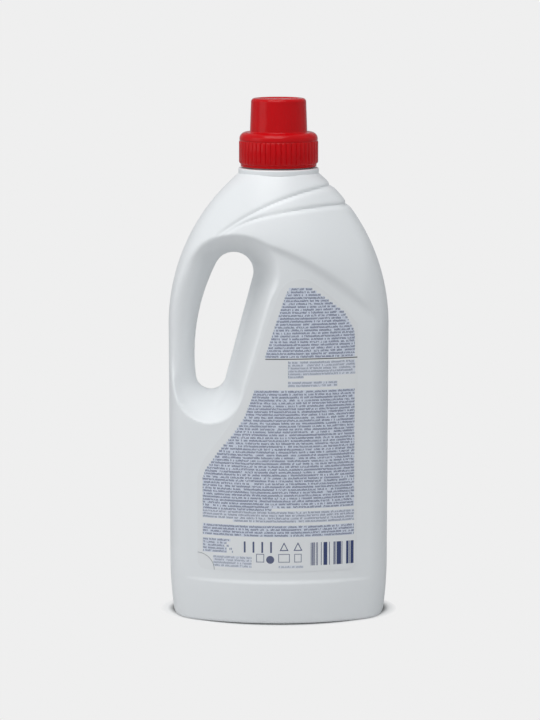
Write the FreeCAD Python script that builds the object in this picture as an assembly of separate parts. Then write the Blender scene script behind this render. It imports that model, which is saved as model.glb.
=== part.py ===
"""Laundry detergent bottle: a blow moulded bottle with a hollow through handle, a two ply label,
a drain back pouring spout in its neck, a sealing ring and a screwed dosing cap.

Millimetres, +Z up. The origin is at the middle of the standing face, under the neck.
The label faces -Y and the handle is on -X. The mould parts on the plane Y = 0, so the
bottle's front and back are alike.
"""
import FreeCAD, Part
import math
import os

from FreeCAD import Vector

# Body of the bottle
HALF_WIDTH = 63.2          # middle of the body to its side
HALF_DEPTH = 38.7          # middle of the body to its front
WALL = 1.15                # blown wall
NECK_WALL = 2.2            # the same wall where the shoulder meets the neck
SHOULDER_START = 168.2     # height where the sides start to lean in
FRONT_LEAN_START = 198.5   # height where the front starts to lean in
SHOULDER_TOP = 255.6       # height of the top of the shoulder
SHOULDER_TOP_RADIUS = 22.4
FOOT_HEIGHT = 31.3         # height over which the walls taper in to the base
FOOT_TAPER = 2.1
BASE_ROUND = 1.2           # bevel between the wall and the standing ring
PUSH_UP_RIM = 9.4          # width of the ring that the bottle stands on
PUSH_UP_SLOPE = 7.3
PUSH_UP_DEPTH = 4.2

# Plan of the body: arcs of the front, the sides and the corners
FRONT_RADIUS = 123.0
SIDE_RADIUS = 62.7
CORNER_RADIUS = 16.7
TOP_ARC_RADIUS = 27.2      # front and side arcs of the shoulder's top, which is nearly round
TOP_CORNER_RADIUS = 18.3
SHARPEST_CORNER = 1.0
SHOULDER_BANDS = 9         # the shoulder is drawn in this many bands
QUARTER = math.radians(95) # longest arc drawn as one curve

# Recessed label panel
PANEL_RADIUS = 130.6       # the panel is part of an upright cylinder
PANEL_DEPTH = 1.0
PANEL_HALF_WIDTH = 53.5
PANEL_BOTTOM = 24.7
PANEL_CORNER = 4.2
PANEL_CREST = (-63.5, 86.5, 146.3)   # x, z and radius of the arc of the panel's upper edge

# Opening of the handle in the plane Y = 0: x, z and radius of its two round ends
EYE_LOW = (-39.1, 139.0, 8.7)
EYE_HIGH = (-25.7, 198.8, 11.3)
EYE_BOW = 117.0            # radius of the side next to the grip

# Pocket round the opening. Each level gives its depth Y, the round low end, the round high end on
# the right and the larger round on the left of the high end, as x, z and radius
POCKET_MOUTH = (-43.9, (-41.8, 132.7, 19.6), (-21.9, 201.7, 23.0), 37.1)
POCKET_EDGE = (-35.5, (-41.8, 132.7, 18.6), (-21.9, 201.7, 21.4), 35.5)
POCKET_BOWL = (-20.9, (-40.8, 135.1, 16.2), (-24.6, 199.1, 16.0), 27.2)
POCKET_LAND = (-1.0, (-39.3, 138.8, 9.7), (-24.7, 198.5, 13.8), 16.7)
POCKET_LEFT = -83.6        # the pocket runs out past the grip, to this x
POCKET_LOW_LEAN = 15.0     # lean of its lower exit from upright, degrees
POCKET_HIGH_LEAN = 10.0
POCKET_EXIT = 10.0         # least height of the outline's far left side

# Grip, the hollow tube between the opening and the left side
GRIP_FULLNESS = 0.70       # 0.55 is an ellipse, 1 a rectangle
GRIP_CHORDS = 3            # straight chords in a quarter of its section
GRIP_LAND = 0.25           # how far the tube reaches into the opening before it is trimmed
GRIP_SINK = 18.0           # how far it starts below the opening, inside the body
# Its sections from the lowest up: half depth, and how far it passes the side of the body, which trims it
GRIP_SECTIONS = ((19.5, 0.0), (17.5, 0.0), (16.0, 0.0), (15.5, 0.0), (17.0, 1.0), (20.0, 3.0))
# Sections that turn round the top of the opening: angle round it, height at the side, half depth, reach
GRIP_TURNS = ((165.0, 200.0, 25.0, 6.0), (148.0, 212.0, 29.0, 8.0), (128.0, 223.0, 31.0, 8.0))

# Grooves that climb over the shoulder: x, z points of the upper edge, and the widest width
GROOVE_HIGH = ((-35.6, 222.2), (-16.0, 236.3), (6.4, 246.3), (37.6, 252.1))
GROOVE_LOW = ((-29.4, 223.7), (-10.3, 232.7), (11.9, 238.6), (50.2, 241.4))
GROOVE_WIDTH = 2.3
GROOVE_DEPTH = 0.7

# Neck, its collar and thread. Heights count from the shoulder's top
NECK_RADIUS = 18.3
NECK_HEIGHT = 17.8
NECK_BORE = 16.2
COLLAR_RADIUS = 22.9
COLLAR_HEIGHT = 2.8
COLLAR_SINK = 1.0          # how deep the collar reaches into the shoulder
COLLAR_ROUND = 1.0
BEVEL_STEP = 0.29          # a round drawn as two bevels has its middle this share inside its corner
LEAD = 5.0                 # rise of the thread in one turn
THREAD_HEIGHT = 1.3        # how far the thread stands proud of the neck
THREAD_FOOT = 2.3          # width of the thread at the neck
THREAD_CREST = 1.0
NECK_TURNS = 1.6
NECK_THREAD_START = 5.9    # from the shoulder's top to the middle of the thread's start
THREAD_SINK = 0.3          # how deep the thread's foot is sunk into its wall
SCREW_GAP = 0.3            # clearance between the threads, and between thread and wall

# Dosing cap
CAP_GAP = 0.8              # from the collar to the closed cap
CAP_TURNS = 1.4
SKIRT_WALL = 2.2
LIP_WALL = 1.7             # the plain lip under the ribs is a little smaller
LIP_HEIGHT = 1.7
RIB_DEPTH = 0.5
RIB_COUNT = 48
RIB_ROUND = 0.8            # bevel at the ends of the ribs
# Section of a rib: share of the pitch, share of the depth
RIB_PROFILE = ((-0.42, 0.0), (-0.18, 1.0), (0.18, 1.0), (0.42, 0.0))
SKIRT_RISE = 0.4           # from the neck's top to the start of the cap's shoulder
CAP_SHOULDER = 4.8         # round from the skirt to the cup
CUP_RADIUS = 16.3          # at its foot
CUP_HEIGHT = 19.1
CUP_TAPER = 0.7
CUP_ROUND = 2.1
CUP_WALL = 1.3
CUP_DISH = 0.5             # how far the top face is dished
GATE_RADIUS = 1.8          # moulding gate mark in the middle of the top
GATE_DEPTH = 0.4

# Pouring spout, pressed into the neck
PLUG_GAP = 0.05
PLUG_DEPTH = 11.6          # from the neck's top to the lowest part of the sloped floor
PLUG_WALL = 1.2
FLANGE_MARGIN = 0.2        # how much smaller the flange is than the neck
FLANGE_THICK = 1.1
FLOOR_THICK = 1.2
FLOOR_RISE = 3.7           # the floor slopes down to the drain by this much
SPOUT_RADIUS = 11.9
SPOUT_WALL = 1.2
SPOUT_HEIGHT = 18.7        # from the neck's top to the high side of its lip
SPOUT_SLANT = 8.9          # drop of the lip from its pouring side to its drain side
DRAIN_WIDTH = 4.7

# Sealing ring in the cap
SEAL_THICK = 0.9
SEAL_GAP = 0.05
SEAL_MARGIN = 0.5          # from the cup's bore to the ring's bore

# Label, two plies on the panel
LABEL_LEFT = -46.3
LABEL_RIGHT = 44.7
LABEL_BOTTOM = 31.2
LABEL_CORNER = 4.6
LABEL_MARGIN = 7.9         # from the panel's upper edge
LABEL_PEAK = (12.4, 186.0)           # centre of the round top
LABEL_PEAK_END = 165.0     # angle where the round top ends
LABEL_SLOPE = ((-9.3, 163.5), (-18.9, 134.5), (-30.2, 112.2), (-42.0, 95.5))
LABEL_SLOPE_FOOT = 84.6    # height where the slope has reached the left side
BASE_PLY = 0.10
COVER_PLY = 0.12
PEEL_RADIUS = 9.3          # the cover's corner is cut back so that a thumb can lift it

# Heights and radii that follow
COLLAR_TOP = SHOULDER_TOP + COLLAR_HEIGHT
NECK_TOP = SHOULDER_TOP + NECK_HEIGHT
CAP_BOTTOM = COLLAR_TOP + CAP_GAP
CAP_BORE = NECK_RADIUS + THREAD_HEIGHT + SCREW_GAP
RIB_TOP = NECK_TOP + SKIRT_RISE
CUP_FOOT = RIB_TOP + CAP_SHOULDER
RIB_BOTTOM = CAP_BOTTOM + LIP_HEIGHT
FLANGE_TOP = NECK_TOP + FLANGE_THICK
CEILING = FLANGE_TOP + SEAL_THICK + 2 * SEAL_GAP

PASS = 1.0                 # how far a cutting shape passes the surface it cuts

# the bottle is one moulding, kept as five zones that meet face to face
ZONE_LOW = 110.0
ZONE_HIGH = 213.0
ZONE_REACH = 90.0
MADE = {}


def turn(place, x, y, radius, start, end, chords=0):
    """Edges of an arc from one angle to the other in radians: smooth quarters, or some straight chords."""
    count = chords or max(1, math.ceil(abs(end - start) / QUARTER))
    step = (end - start) / count
    handle = radius * 4 / 3 * math.tan(step / 4)
    edges = []
    for k in range(count):
        a, b = start + k * step, start + (k + 1) * step
        ax, ay = x + radius * math.cos(a), y + radius * math.sin(a)
        bx, by = x + radius * math.cos(b), y + radius * math.sin(b)
        if chords:
            edges.append(Part.makeLine(place(ax, ay), place(bx, by)))
            continue
        poles = [
            place(ax, ay),
            place(ax - handle * math.sin(a), ay + handle * math.cos(a)),
            place(bx + handle * math.sin(b), by - handle * math.cos(b)),
            place(bx, by),
        ]
        curve = Part.BezierCurve()
        curve.setPoles(poles)
        edges.append(curve.toShape())
    return edges


def upright(y):
    """Places a point (x, z) in the XZ plane at this depth."""
    return lambda x, z: Vector(x, y, z)


def level(z):
    """Places a point (x, y) at this height."""
    return lambda x, y: Vector(x, y, z)


def xz_arc(x, z, radius, start, end, y, chords=0):
    """Arc in the XZ plane at depth y, angles in degrees."""
    return turn(upright(y), x, z, radius, math.radians(start), math.radians(end), chords)


def xz_line(x0, z0, x1, z1, y):
    return [Part.makeLine(Vector(x0, y, z0), Vector(x1, y, z1))]


def joined(*groups):
    """One closed wire of these groups of edges, in order."""
    edges = []
    for group in groups:
        edges += group
    return Part.Wire(Part.__sortEdges__(edges))


def prism(wire, y0, y1):
    """Closed wire in an XZ plane, as a solid from y0 to y1."""
    face = Part.Face(wire)
    depth = wire.Vertexes[0].Point.y
    face.translate(Vector(0, y0 - depth, 0))
    return face.extrude(Vector(0, y1 - y0, 0))


def both_sides(shape):
    """The shape and its mirror image in the parting plane."""
    return [shape, shape.mirror(Vector(0, 0, 0), Vector(0, 1, 0))]


def tube(outer, inner, bottom, top):
    ring = Part.makeCylinder(outer, top - bottom, Vector(0, 0, bottom))
    return ring.cut(Part.makeCylinder(inner, top - bottom, Vector(0, 0, bottom)))


def spun(points):
    """Solid of revolution about Z of a closed outline of (radius, z) points."""
    corners = [Vector(r, 0, z) for r, z in points]
    face = Part.Face(Part.makePolygon(corners + corners[:1]))
    return face.revolve(Vector(0, 0, 0), Vector(0, 0, 1), 360)


def lean(z, start, top, amount):
    """How far an arc that leaves the upright at start has leaned in at height z, for amount at top."""
    if z <= start:
        return 0.0
    rise = top - start
    radius = (rise * rise + amount * amount) / (2 * amount)
    return radius - math.sqrt(radius * radius - (z - start) ** 2)


def half_width(z):
    return HALF_WIDTH - lean(z, SHOULDER_START, SHOULDER_TOP, HALF_WIDTH - SHOULDER_TOP_RADIUS)


def half_depth(z):
    return HALF_DEPTH - lean(z, FRONT_LEAN_START, SHOULDER_TOP, HALF_DEPTH - SHOULDER_TOP_RADIUS)


def foot_taper(z):
    return FOOT_TAPER * max(0.0, 1 - z / FOOT_HEIGHT) ** 2


def shoulder_share(z):
    return min(1.0, max(0.0, (z - SHOULDER_START) / (SHOULDER_TOP - SHOULDER_START)))


def plan_wire(z, inset=0.0, at=None, smooth=True):
    """Plan of the body at height z, as eight arcs that touch, drawn at height at."""
    share = shoulder_share(z)
    width = half_width(z) - foot_taper(z) - inset
    depth = half_depth(z) - foot_taper(z) - inset
    front = FRONT_RADIUS + (TOP_ARC_RADIUS - FRONT_RADIUS) * share - inset
    side = SIDE_RADIUS + (TOP_ARC_RADIUS - SIDE_RADIUS) * share - inset
    corner = CORNER_RADIUS + (TOP_CORNER_RADIUS - CORNER_RADIUS) * share - inset
    corner = max(corner, SHARPEST_CORNER)
    # the corner arc touches the front arc and the side arc from inside
    front_y = front - depth
    side_x = width - side
    gap = math.hypot(side_x, front_y)
    to_front, to_side = front - corner, side - corner
    along = (to_front ** 2 - to_side ** 2 + gap ** 2) / (2 * gap)
    off = math.sqrt(to_front ** 2 - along ** 2)
    ux, uy = side_x / gap, -front_y / gap
    corner_x = ux * along - uy * off
    corner_y = front_y + uy * along + ux * off
    if corner_y > 0:
        corner_x = ux * along + uy * off
        corner_y = front_y + uy * along - ux * off
    front_end = math.atan2(corner_y - front_y, corner_x)
    side_start = math.atan2(corner_y, corner_x - side_x)
    place = level(z if at is None else at)
    front_chords, corner_chords, side_chords = (0, 0, 0) if smooth else (6, 3, 3)
    pi = math.pi
    edges = turn(place, 0, front_y, front, -pi - front_end, front_end, front_chords)
    edges += turn(place, corner_x, corner_y, corner, front_end, side_start, corner_chords)
    edges += turn(place, side_x, 0, side, side_start, -side_start, side_chords)
    edges += turn(place, corner_x, -corner_y, corner, -side_start, -front_end, corner_chords)
    edges += turn(place, 0, -front_y, front, -front_end, pi + front_end, front_chords)
    edges += turn(place, -corner_x, -corner_y, corner, pi + front_end, pi + side_start, corner_chords)
    edges += turn(place, -side_x, 0, side, pi + side_start, pi - side_start, side_chords)
    edges += turn(place, -corner_x, corner_y, corner, pi - side_start, pi - front_end, corner_chords)
    return Part.Wire(edges)


def wall_at(z, inset):
    """The wall grows towards the neck."""
    return inset * (1 + (NECK_WALL / WALL - 1) * shoulder_share(z) ** 2)


def levels(start, end, count):
    return [start + (end - start) * i / (count - 1) for i in range(count)]


def body_blank(inset=0.0, bottom=0.0):
    """The body without its panel, pocket and handle. The hidden inside is drawn with straight chords."""
    smooth = inset == 0.0
    heights = levels(SHOULDER_START, SHOULDER_TOP, SHOULDER_BANDS + 1 if smooth else 7)
    wires = [plan_wire(z, wall_at(z, inset), None, smooth) for z in heights]
    foot = levels(bottom + BASE_ROUND, FOOT_HEIGHT, 4 if smooth else 2)
    wires = [plan_wire(z, inset, None, smooth) for z in foot] + wires
    wires.insert(0, plan_wire(0, inset + BASE_ROUND, bottom, smooth))
    return Part.makeLoft(wires, True, True)


def panel_core(inset=0.0):
    """Solid that stays behind the label panel: an upright cylinder that leans in with the front."""
    radius = PANEL_RADIUS - inset
    reach = radius - HALF_DEPTH + PANEL_DEPTH + inset
    tall = SHOULDER_TOP - FRONT_LEAN_START
    points = []
    for z in levels(FRONT_LEAN_START, SHOULDER_TOP, 3):
        points.append(Vector(radius + half_depth(z) - HALF_DEPTH, 0, z))
    bottom, top = points[0], points[2]
    inner = radius * 0.3
    low, high = Vector(radius, 0, -1), Vector(inner, 0, -1)
    edges = [
        Part.makeLine(low, bottom),
        Part.Arc(*points).toShape(),
        Part.makeLine(top, Vector(inner, 0, SHOULDER_TOP)),
        Part.makeLine(Vector(inner, 0, SHOULDER_TOP), high),
        Part.makeLine(high, low),
    ]
    core = Part.Face(Part.Wire(edges)).revolve(Vector(0, 0, 0), Vector(0, 0, 1), 360)
    core.translate(Vector(0, reach, 0))
    return core


def panel_cutter(inset=0.0):
    """What the label panel takes off the front of the body."""
    crest_x, crest_z, crest = PANEL_CREST
    crest += inset
    right = PANEL_HALF_WIDTH + inset
    low = PANEL_BOTTOM - inset
    round_ = PANEL_CORNER
    start = math.degrees(math.acos((right - crest_x) / crest))
    corner_z = crest_z + crest * math.sin(math.radians(start))
    end = math.degrees(math.atan2(POCKET_EDGE[2][1] - crest_z, POCKET_EDGE[2][0] - crest_x))
    top_x = crest_x + crest * math.cos(math.radians(end))
    top_z = crest_z + crest * math.sin(math.radians(end))
    inside_x, inside_z = EYE_LOW[0], EYE_LOW[1]
    y = 0
    wire = joined(
        xz_arc(crest_x, crest_z, crest, start, end, y),
        xz_line(top_x, top_z, inside_x, inside_z, y),
        xz_line(inside_x, inside_z, -right, inside_z - EYE_LOW[2], y),
        xz_line(-right, inside_z - EYE_LOW[2], -right, low + round_, y),
        xz_arc(-right + round_, low + round_, round_, 180, 270, y),
        xz_line(-right + round_, low, right - round_, low, y),
        xz_arc(right - round_, low + round_, round_, 270, 360, y),
        xz_line(right, low + round_, right, corner_z, y))
    return prism(wire, -HALF_DEPTH * 1.3, -HALF_DEPTH * 0.4).cut(panel_core(inset))


def tangent_points(low, high, side):
    """Points where a straight line touches two circles on one side, +1 for right and -1 for left."""
    dx, dz = high[0] - low[0], high[1] - low[1]
    gap = math.hypot(dx, dz)
    along = math.atan2(dz, dx)
    angle = along - side * math.acos((low[2] - high[2]) / gap)
    out = []
    for x, z, radius in (low, high):
        out.append((x + radius * math.cos(angle), z + radius * math.sin(angle), math.degrees(angle)))
    return out


def eye_wire(y, grow=0.0):
    """Opening of the handle: two round ends, a straight side and a bowed side next to the grip."""
    low = (EYE_LOW[0], EYE_LOW[1], EYE_LOW[2] + grow)
    high = (EYE_HIGH[0], EYE_HIGH[1], EYE_HIGH[2] + grow)
    start, end = tangent_points(low, high, 1)
    bow = EYE_BOW + grow
    centre = bow_centre()
    low_angle = math.degrees(math.atan2(low[1] - centre[1], low[0] - centre[0])) % 360
    high_angle = math.degrees(math.atan2(high[1] - centre[1], high[0] - centre[0])) % 360
    return joined(
        xz_line(start[0], start[1], end[0], end[1], y),
        xz_arc(high[0], high[1], high[2], end[2], high_angle, y),
        xz_arc(centre[0], centre[1], bow, high_angle, low_angle, y),
        xz_arc(low[0], low[1], low[2], low_angle, 360 + start[2], y))


def bow_centre():
    """Centre of the bowed side, which touches both round ends from outside."""
    to_low, to_high = EYE_BOW - EYE_LOW[2], EYE_BOW - EYE_HIGH[2]
    dx, dz = EYE_HIGH[0] - EYE_LOW[0], EYE_HIGH[1] - EYE_LOW[1]
    gap = math.hypot(dx, dz)
    along = (to_low ** 2 - to_high ** 2 + gap ** 2) / (2 * gap)
    off = math.sqrt(to_low ** 2 - along ** 2)
    ux, uz = dx / gap, dz / gap
    return EYE_LOW[0] + ux * along + uz * off, EYE_LOW[1] + uz * along - ux * off


def eye_left(z):
    """x of the bowed side at height z."""
    x, centre_z = bow_centre()
    return x - math.sqrt(EYE_BOW ** 2 - (z - centre_z) ** 2)


def pocket_wire(shape, grow=0.0, smooth=True):
    """Outline of the pocket at one depth, which is open past the grip."""
    y, low, high, big = shape
    low = (low[0], low[1], low[2] + grow)
    high = (high[0], high[1], high[2] + grow)
    big += grow
    big_z = high[1] + high[2] - big
    start, end = tangent_points(low, high, 1)
    low_exit = 180 + POCKET_LOW_LEAN
    high_exit = 180 - POCKET_HIGH_LEAN
    low_x = low[0] + low[2] * math.cos(math.radians(low_exit))
    low_z = low[1] + low[2] * math.sin(math.radians(low_exit))
    high_x = high[0] + big * math.cos(math.radians(high_exit))
    high_z = big_z + big * math.sin(math.radians(high_exit))
    far_low = low_z + (low_x - POCKET_LEFT) / math.tan(math.radians(POCKET_LOW_LEAN))
    far_high = high_z - (high_x - POCKET_LEFT) / math.tan(math.radians(POCKET_HIGH_LEAN))
    if far_high - far_low < POCKET_EXIT:
        # the two exits are drawn together, so they end at a middle height
        middle = (low_z + high_z) / 2
        far_low, far_high = middle - POCKET_EXIT / 2, middle + POCKET_EXIT / 2
    return joined(
        xz_line(start[0], start[1], end[0], end[1], y),
        xz_arc(high[0], high[1], high[2], end[2], 90, y, 0 if smooth else 4),
        xz_arc(high[0], big_z, big, 90, high_exit, y, 0 if smooth else 3),
        xz_line(high_x, high_z, POCKET_LEFT, far_high, y),
        xz_line(POCKET_LEFT, far_high, POCKET_LEFT, far_low, y),
        xz_line(POCKET_LEFT, far_low, low_x, low_z, y),
        xz_arc(low[0], low[1], low[2], low_exit, 360 + start[2], y, 0 if smooth else 6))


def pocket_cutter(grow=0.0):
    smooth = grow == 0.0
    shapes = (POCKET_MOUTH, POCKET_EDGE, POCKET_BOWL, POCKET_LAND)
    return Part.makeLoft([pocket_wire(shape, grow, smooth) for shape in shapes], True, True)


def grip_section(inner, outer, depth):
    """Full oval section of the grip between two points of the XZ plane."""
    (x0, z0), (x1, z1) = inner, outer
    middle = Vector((x0 + x1) / 2, 0, (z0 + z1) / 2)
    across = Vector(x1 - x0, 0, z1 - z0) * 0.5
    deep = Vector(0, depth, 0)
    edges = []
    for u, v in ((across, deep), (deep, -across), (-across, -deep), (-deep, across)):
        poles = [middle + u, middle + u + v * GRIP_FULLNESS, middle + v + u * GRIP_FULLNESS, middle + v]
        curve = Part.BezierCurve()
        curve.setPoles(poles)
        corners = [curve.value(k / GRIP_CHORDS) for k in range(GRIP_CHORDS + 1)]
        edges += [Part.makeLine(a, b) for a, b in zip(corners, corners[1:])]
    return Part.Wire(edges)


def grip(inset=0.0):
    """The tube of the handle, from inside the body under the pocket to inside the shoulder."""
    low, high = EYE_LOW[1] - EYE_LOW[2] - GRIP_SINK, EYE_HIGH[1] - EYE_HIGH[2]
    ends = []
    for z, (depth, reach) in zip(levels(low, high, len(GRIP_SECTIONS)), GRIP_SECTIONS):
        ends.append((eye_left(max(z, EYE_LOW[1])) + GRIP_LAND, z, z, depth, reach))
    for angle, z, depth, reach in GRIP_TURNS:
        a = math.radians(angle)
        radius = EYE_HIGH[2] - GRIP_LAND
        x = EYE_HIGH[0] + radius * math.cos(a)
        ends.append((x, EYE_HIGH[1] + radius * math.sin(a), z, depth, reach))
    sections = []
    for inner_x, inner_z, z, depth, reach in ends:
        outer_x = -half_width(z) - reach
        length = math.hypot(outer_x - inner_x, z - inner_z)
        dx, dz = (outer_x - inner_x) / length * inset, (z - inner_z) / length * inset
        sections.append(grip_section((inner_x + dx, inner_z + dz), (outer_x - dx, z - dz), depth - inset))
    return Part.makeLoft(sections, True, True)


def push_up(grow=0.0):
    """Hollow under the base, grown for the inside of the wall."""
    smooth = grow == 0.0
    low = plan_wire(0, PUSH_UP_RIM - grow, -PUSH_UP_DEPTH, smooth)
    rim = plan_wire(0, PUSH_UP_RIM - grow, 0, smooth)
    high = plan_wire(0, PUSH_UP_RIM + PUSH_UP_SLOPE - grow, PUSH_UP_DEPTH + grow, smooth)
    return Part.makeLoft([low, rim, high], True, True)


def groove_band(points):
    """Band in the XZ plane between the edges of a groove, from a point on its left."""
    upper, lower = [], []
    for k, (x, z) in enumerate(points):
        upper.append(Vector(x, 0, z))
        lower.append(Vector(x, 0, z - GROOVE_WIDTH * k / (len(points) - 1)))
    edges = []
    for side in (upper, lower):
        curve = Part.BSplineCurve()
        curve.interpolate(side)
        edges.append(curve.toShape())
    edges.append(Part.makeLine(upper[-1], lower[-1]))
    return Part.Wire(Part.__sortEdges__(edges))


def grooves():
    """The two stepped grooves, as deep bands over the shoulder."""
    heights = levels(SHOULDER_START, SHOULDER_TOP, SHOULDER_BANDS + 1)
    core = Part.makeLoft([plan_wire(z, GROOVE_DEPTH) for z in heights], True, True)
    out = []
    for points in (GROOVE_HIGH, GROOVE_LOW):
        band = prism(groove_band(points), -HALF_DEPTH, HALF_DEPTH)
        out.append(band.cut(core))
    return out


def thread(radius, start, turns, outward):
    """Screw thread on a wall of this radius, proud outwards (+1) or inwards (-1)."""
    foot, crest = THREAD_FOOT / 2, THREAD_CREST / 2
    sunk = radius - outward * THREAD_SINK
    tip = radius + outward * THREAD_HEIGHT
    corners = [Vector(sunk, 0, -foot), Vector(tip, 0, -crest), Vector(tip, 0, crest), Vector(sunk, 0, foot)]
    profile = Part.makePolygon(corners + corners[:1])
    path = Part.makeHelix(LEAD, LEAD * turns, radius)
    ridge = Part.Wire(path.Edges).makePipeShell([profile], True, True)
    ridge.translate(Vector(0, 0, start))
    return ridge


def collar():
    """Disc that closes the shoulder and carries the neck, with a bevelled upper edge."""
    bottom = SHOULDER_TOP - COLLAR_SINK
    inner = COLLAR_RADIUS - COLLAR_ROUND
    step = COLLAR_ROUND * BEVEL_STEP
    return spun([(0, bottom), (COLLAR_RADIUS, bottom), (COLLAR_RADIUS, COLLAR_TOP - COLLAR_ROUND),
                 (COLLAR_RADIUS - step, COLLAR_TOP - step), (inner, COLLAR_TOP), (0, COLLAR_TOP)])


def outer_form():
    blank = body_blank()
    body = blank.cut([push_up()] + both_sides(panel_cutter()) + both_sides(pocket_cutter()))
    body = body.cut(grooves())
    neck = Part.makeCylinder(NECK_RADIUS, NECK_HEIGHT, Vector(0, 0, SHOULDER_TOP))
    body = body.fuse([grip().common(blank), collar(), neck])
    body = body.cut(prism(eye_wire(0), -HALF_DEPTH, HALF_DEPTH))
    return body.fuse(thread(NECK_RADIUS, SHOULDER_TOP + NECK_THREAD_START, NECK_TURNS, 1))


def inner_form():
    """The hollow of the bottle, one wall inside the outer form."""
    blank = body_blank(WALL, WALL)
    land = prism(pocket_land_wire(WALL), -HALF_DEPTH, HALF_DEPTH)
    cutters = [push_up(WALL), land] + both_sides(panel_cutter(WALL)) + both_sides(pocket_cutter(WALL))
    start = SHOULDER_TOP - COLLAR_HEIGHT
    bore = Part.makeCylinder(NECK_BORE, NECK_HEIGHT + 2 * COLLAR_HEIGHT, Vector(0, 0, start))
    return blank.cut(cutters).fuse([grip(WALL).common(blank), bore])


def pocket_land_wire(grow):
    """The flat pinched web round the opening, which holds no liquid."""
    y, low, high, big = POCKET_LAND
    low = (low[0], low[1], low[2] + grow)
    high = (high[0], high[1], high[2] + grow)
    start, end = tangent_points(low, high, 1)
    back_start, back_end = tangent_points(low, high, -1)
    return joined(
        xz_line(start[0], start[1], end[0], end[1], 0),
        xz_arc(high[0], high[1], high[2], end[2], back_end[2] % 360, 0, 8),
        xz_line(back_end[0], back_end[1], back_start[0], back_start[1], 0),
        xz_arc(low[0], low[1], low[2], back_start[2] % 360, 360 + start[2], 0, 8))


def bottle():
    """The whole blown bottle, made once and shared by its zones."""
    if "whole" not in MADE:
        MADE["whole"] = outer_form().cut(inner_form())
    return MADE["whole"]


def split_x(z):
    """The line down the middle of the handle's opening, where the grip zone meets the body zone."""
    share = (z - EYE_LOW[1]) / (EYE_HIGH[1] - EYE_LOW[1])
    return EYE_LOW[0] + (EYE_HIGH[0] - EYE_LOW[0]) * share


def zone_block(low_left, low_right, high_right, high_left, low, high):
    """Block between two heights with slanted sides, deeper than the body."""
    corners = ((low_left, low), (low_right, low), (high_right, high), (high_left, high))
    sides = [xz_line(*start, *end, 0) for start, end in zip(corners, corners[1:] + corners[:1])]
    return prism(joined(*sides), -ZONE_REACH, ZONE_REACH)


def zone(name):
    """One zone of the bottle, cut off by flat faces, so that each encloses one simple space."""
    far = ZONE_REACH
    grip_low, grip_high = split_x(ZONE_LOW), split_x(ZONE_HIGH)
    neck = SHOULDER_TOP - COLLAR_HEIGHT
    blocks = {
        "foot": (-far, far, far, -far, -WALL, ZONE_LOW),
        "grip": (-far, grip_low, grip_high, -far, ZONE_LOW, ZONE_HIGH),
        "body": (grip_low, far, far, grip_high, ZONE_LOW, ZONE_HIGH),
        "shoulder": (-far, far, far, -far, ZONE_HIGH, neck),
        "neck": (-far, far, far, -far, neck, NECK_TOP + WALL),
    }
    return bottle().common(zone_block(*blocks[name]))


def bottle_foot():
    return zone("foot")


def bottle_grip():
    return zone("grip")


def bottle_body():
    return zone("body")


def bottle_shoulder():
    return zone("shoulder")


def bottle_neck():
    return zone("neck")


def ribbed_blank():
    """Upright prism with one lobe for each rib."""
    radius = CAP_BORE + SKIRT_WALL
    step = 2 * math.pi / RIB_COUNT
    corners = []
    for k in range(RIB_COUNT):
        for share, r in RIB_PROFILE:
            a = (k + share) * step
            reach = radius + r * RIB_DEPTH
            corners.append(Vector(reach * math.cos(a), reach * math.sin(a), RIB_BOTTOM))
    face = Part.Face(Part.makePolygon(corners + corners[:1]))
    return face.extrude(Vector(0, 0, RIB_TOP - RIB_BOTTOM))


def rib_envelope():
    """Bevels the ends of the ribs."""
    root = CAP_BORE + SKIRT_WALL
    tip = root + RIB_DEPTH
    low = [(0, RIB_BOTTOM), (root, RIB_BOTTOM), (tip, RIB_BOTTOM + RIB_ROUND)]
    return spun(low + [(tip, RIB_TOP - RIB_ROUND), (root, RIB_TOP), (0, RIB_TOP)])


def round_points(x, z, radius, count):
    """Points of a quarter round from its outer side to its top, about the centre (x, z)."""
    points = []
    for k in range(count + 1):
        a = math.pi / 2 * k / count
        points.append((x + radius * math.cos(a), z + radius * math.sin(a)))
    return points


def cap_crown():
    """The cap above its ribs: shoulder, cup and dished top with the gate mark."""
    shoulder_x = CAP_BORE + SKIRT_WALL + RIB_DEPTH - CAP_SHOULDER
    top = CUP_FOOT + CUP_HEIGHT
    cup_top = CUP_RADIUS - CUP_TAPER
    dish = top - CUP_DISH
    outline = [(0, RIB_TOP)]
    outline += round_points(shoulder_x, RIB_TOP, CAP_SHOULDER, 4)
    outline += [(CUP_RADIUS, CUP_FOOT)]
    outline += round_points(cup_top - CUP_ROUND, top - CUP_ROUND, CUP_ROUND, 3)
    outline += [(cup_top - 2 * CUP_ROUND, dish), (GATE_RADIUS, dish), (0, dish - GATE_DEPTH)]
    return spun(outline)


def dosing_cap():
    skirt = ribbed_blank().common(rib_envelope())
    lip = Part.makeCylinder(CAP_BORE + LIP_WALL, 2 * LIP_HEIGHT, Vector(0, 0, CAP_BOTTOM))
    cap = skirt.fuse([lip, cap_crown()])
    roof = CUP_FOOT + CUP_HEIGHT - CUP_DISH - GATE_DEPTH - CUP_WALL
    cup_bore = CUP_RADIUS - CUP_WALL
    under = CAP_BOTTOM - PASS
    outline = [(0, under), (CAP_BORE, under), (CAP_BORE, CEILING), (cup_bore, CEILING)]
    cap = cap.cut(spun(outline + [(cup_bore - CUP_TAPER, roof), (0, roof)]))
    flank = THREAD_FOOT / 2 + THREAD_CREST / 2 + SCREW_GAP
    start = SHOULDER_TOP + NECK_THREAD_START - flank + LEAD
    return cap.fuse(thread(CAP_BORE, start, CAP_TURNS, -1))


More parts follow.
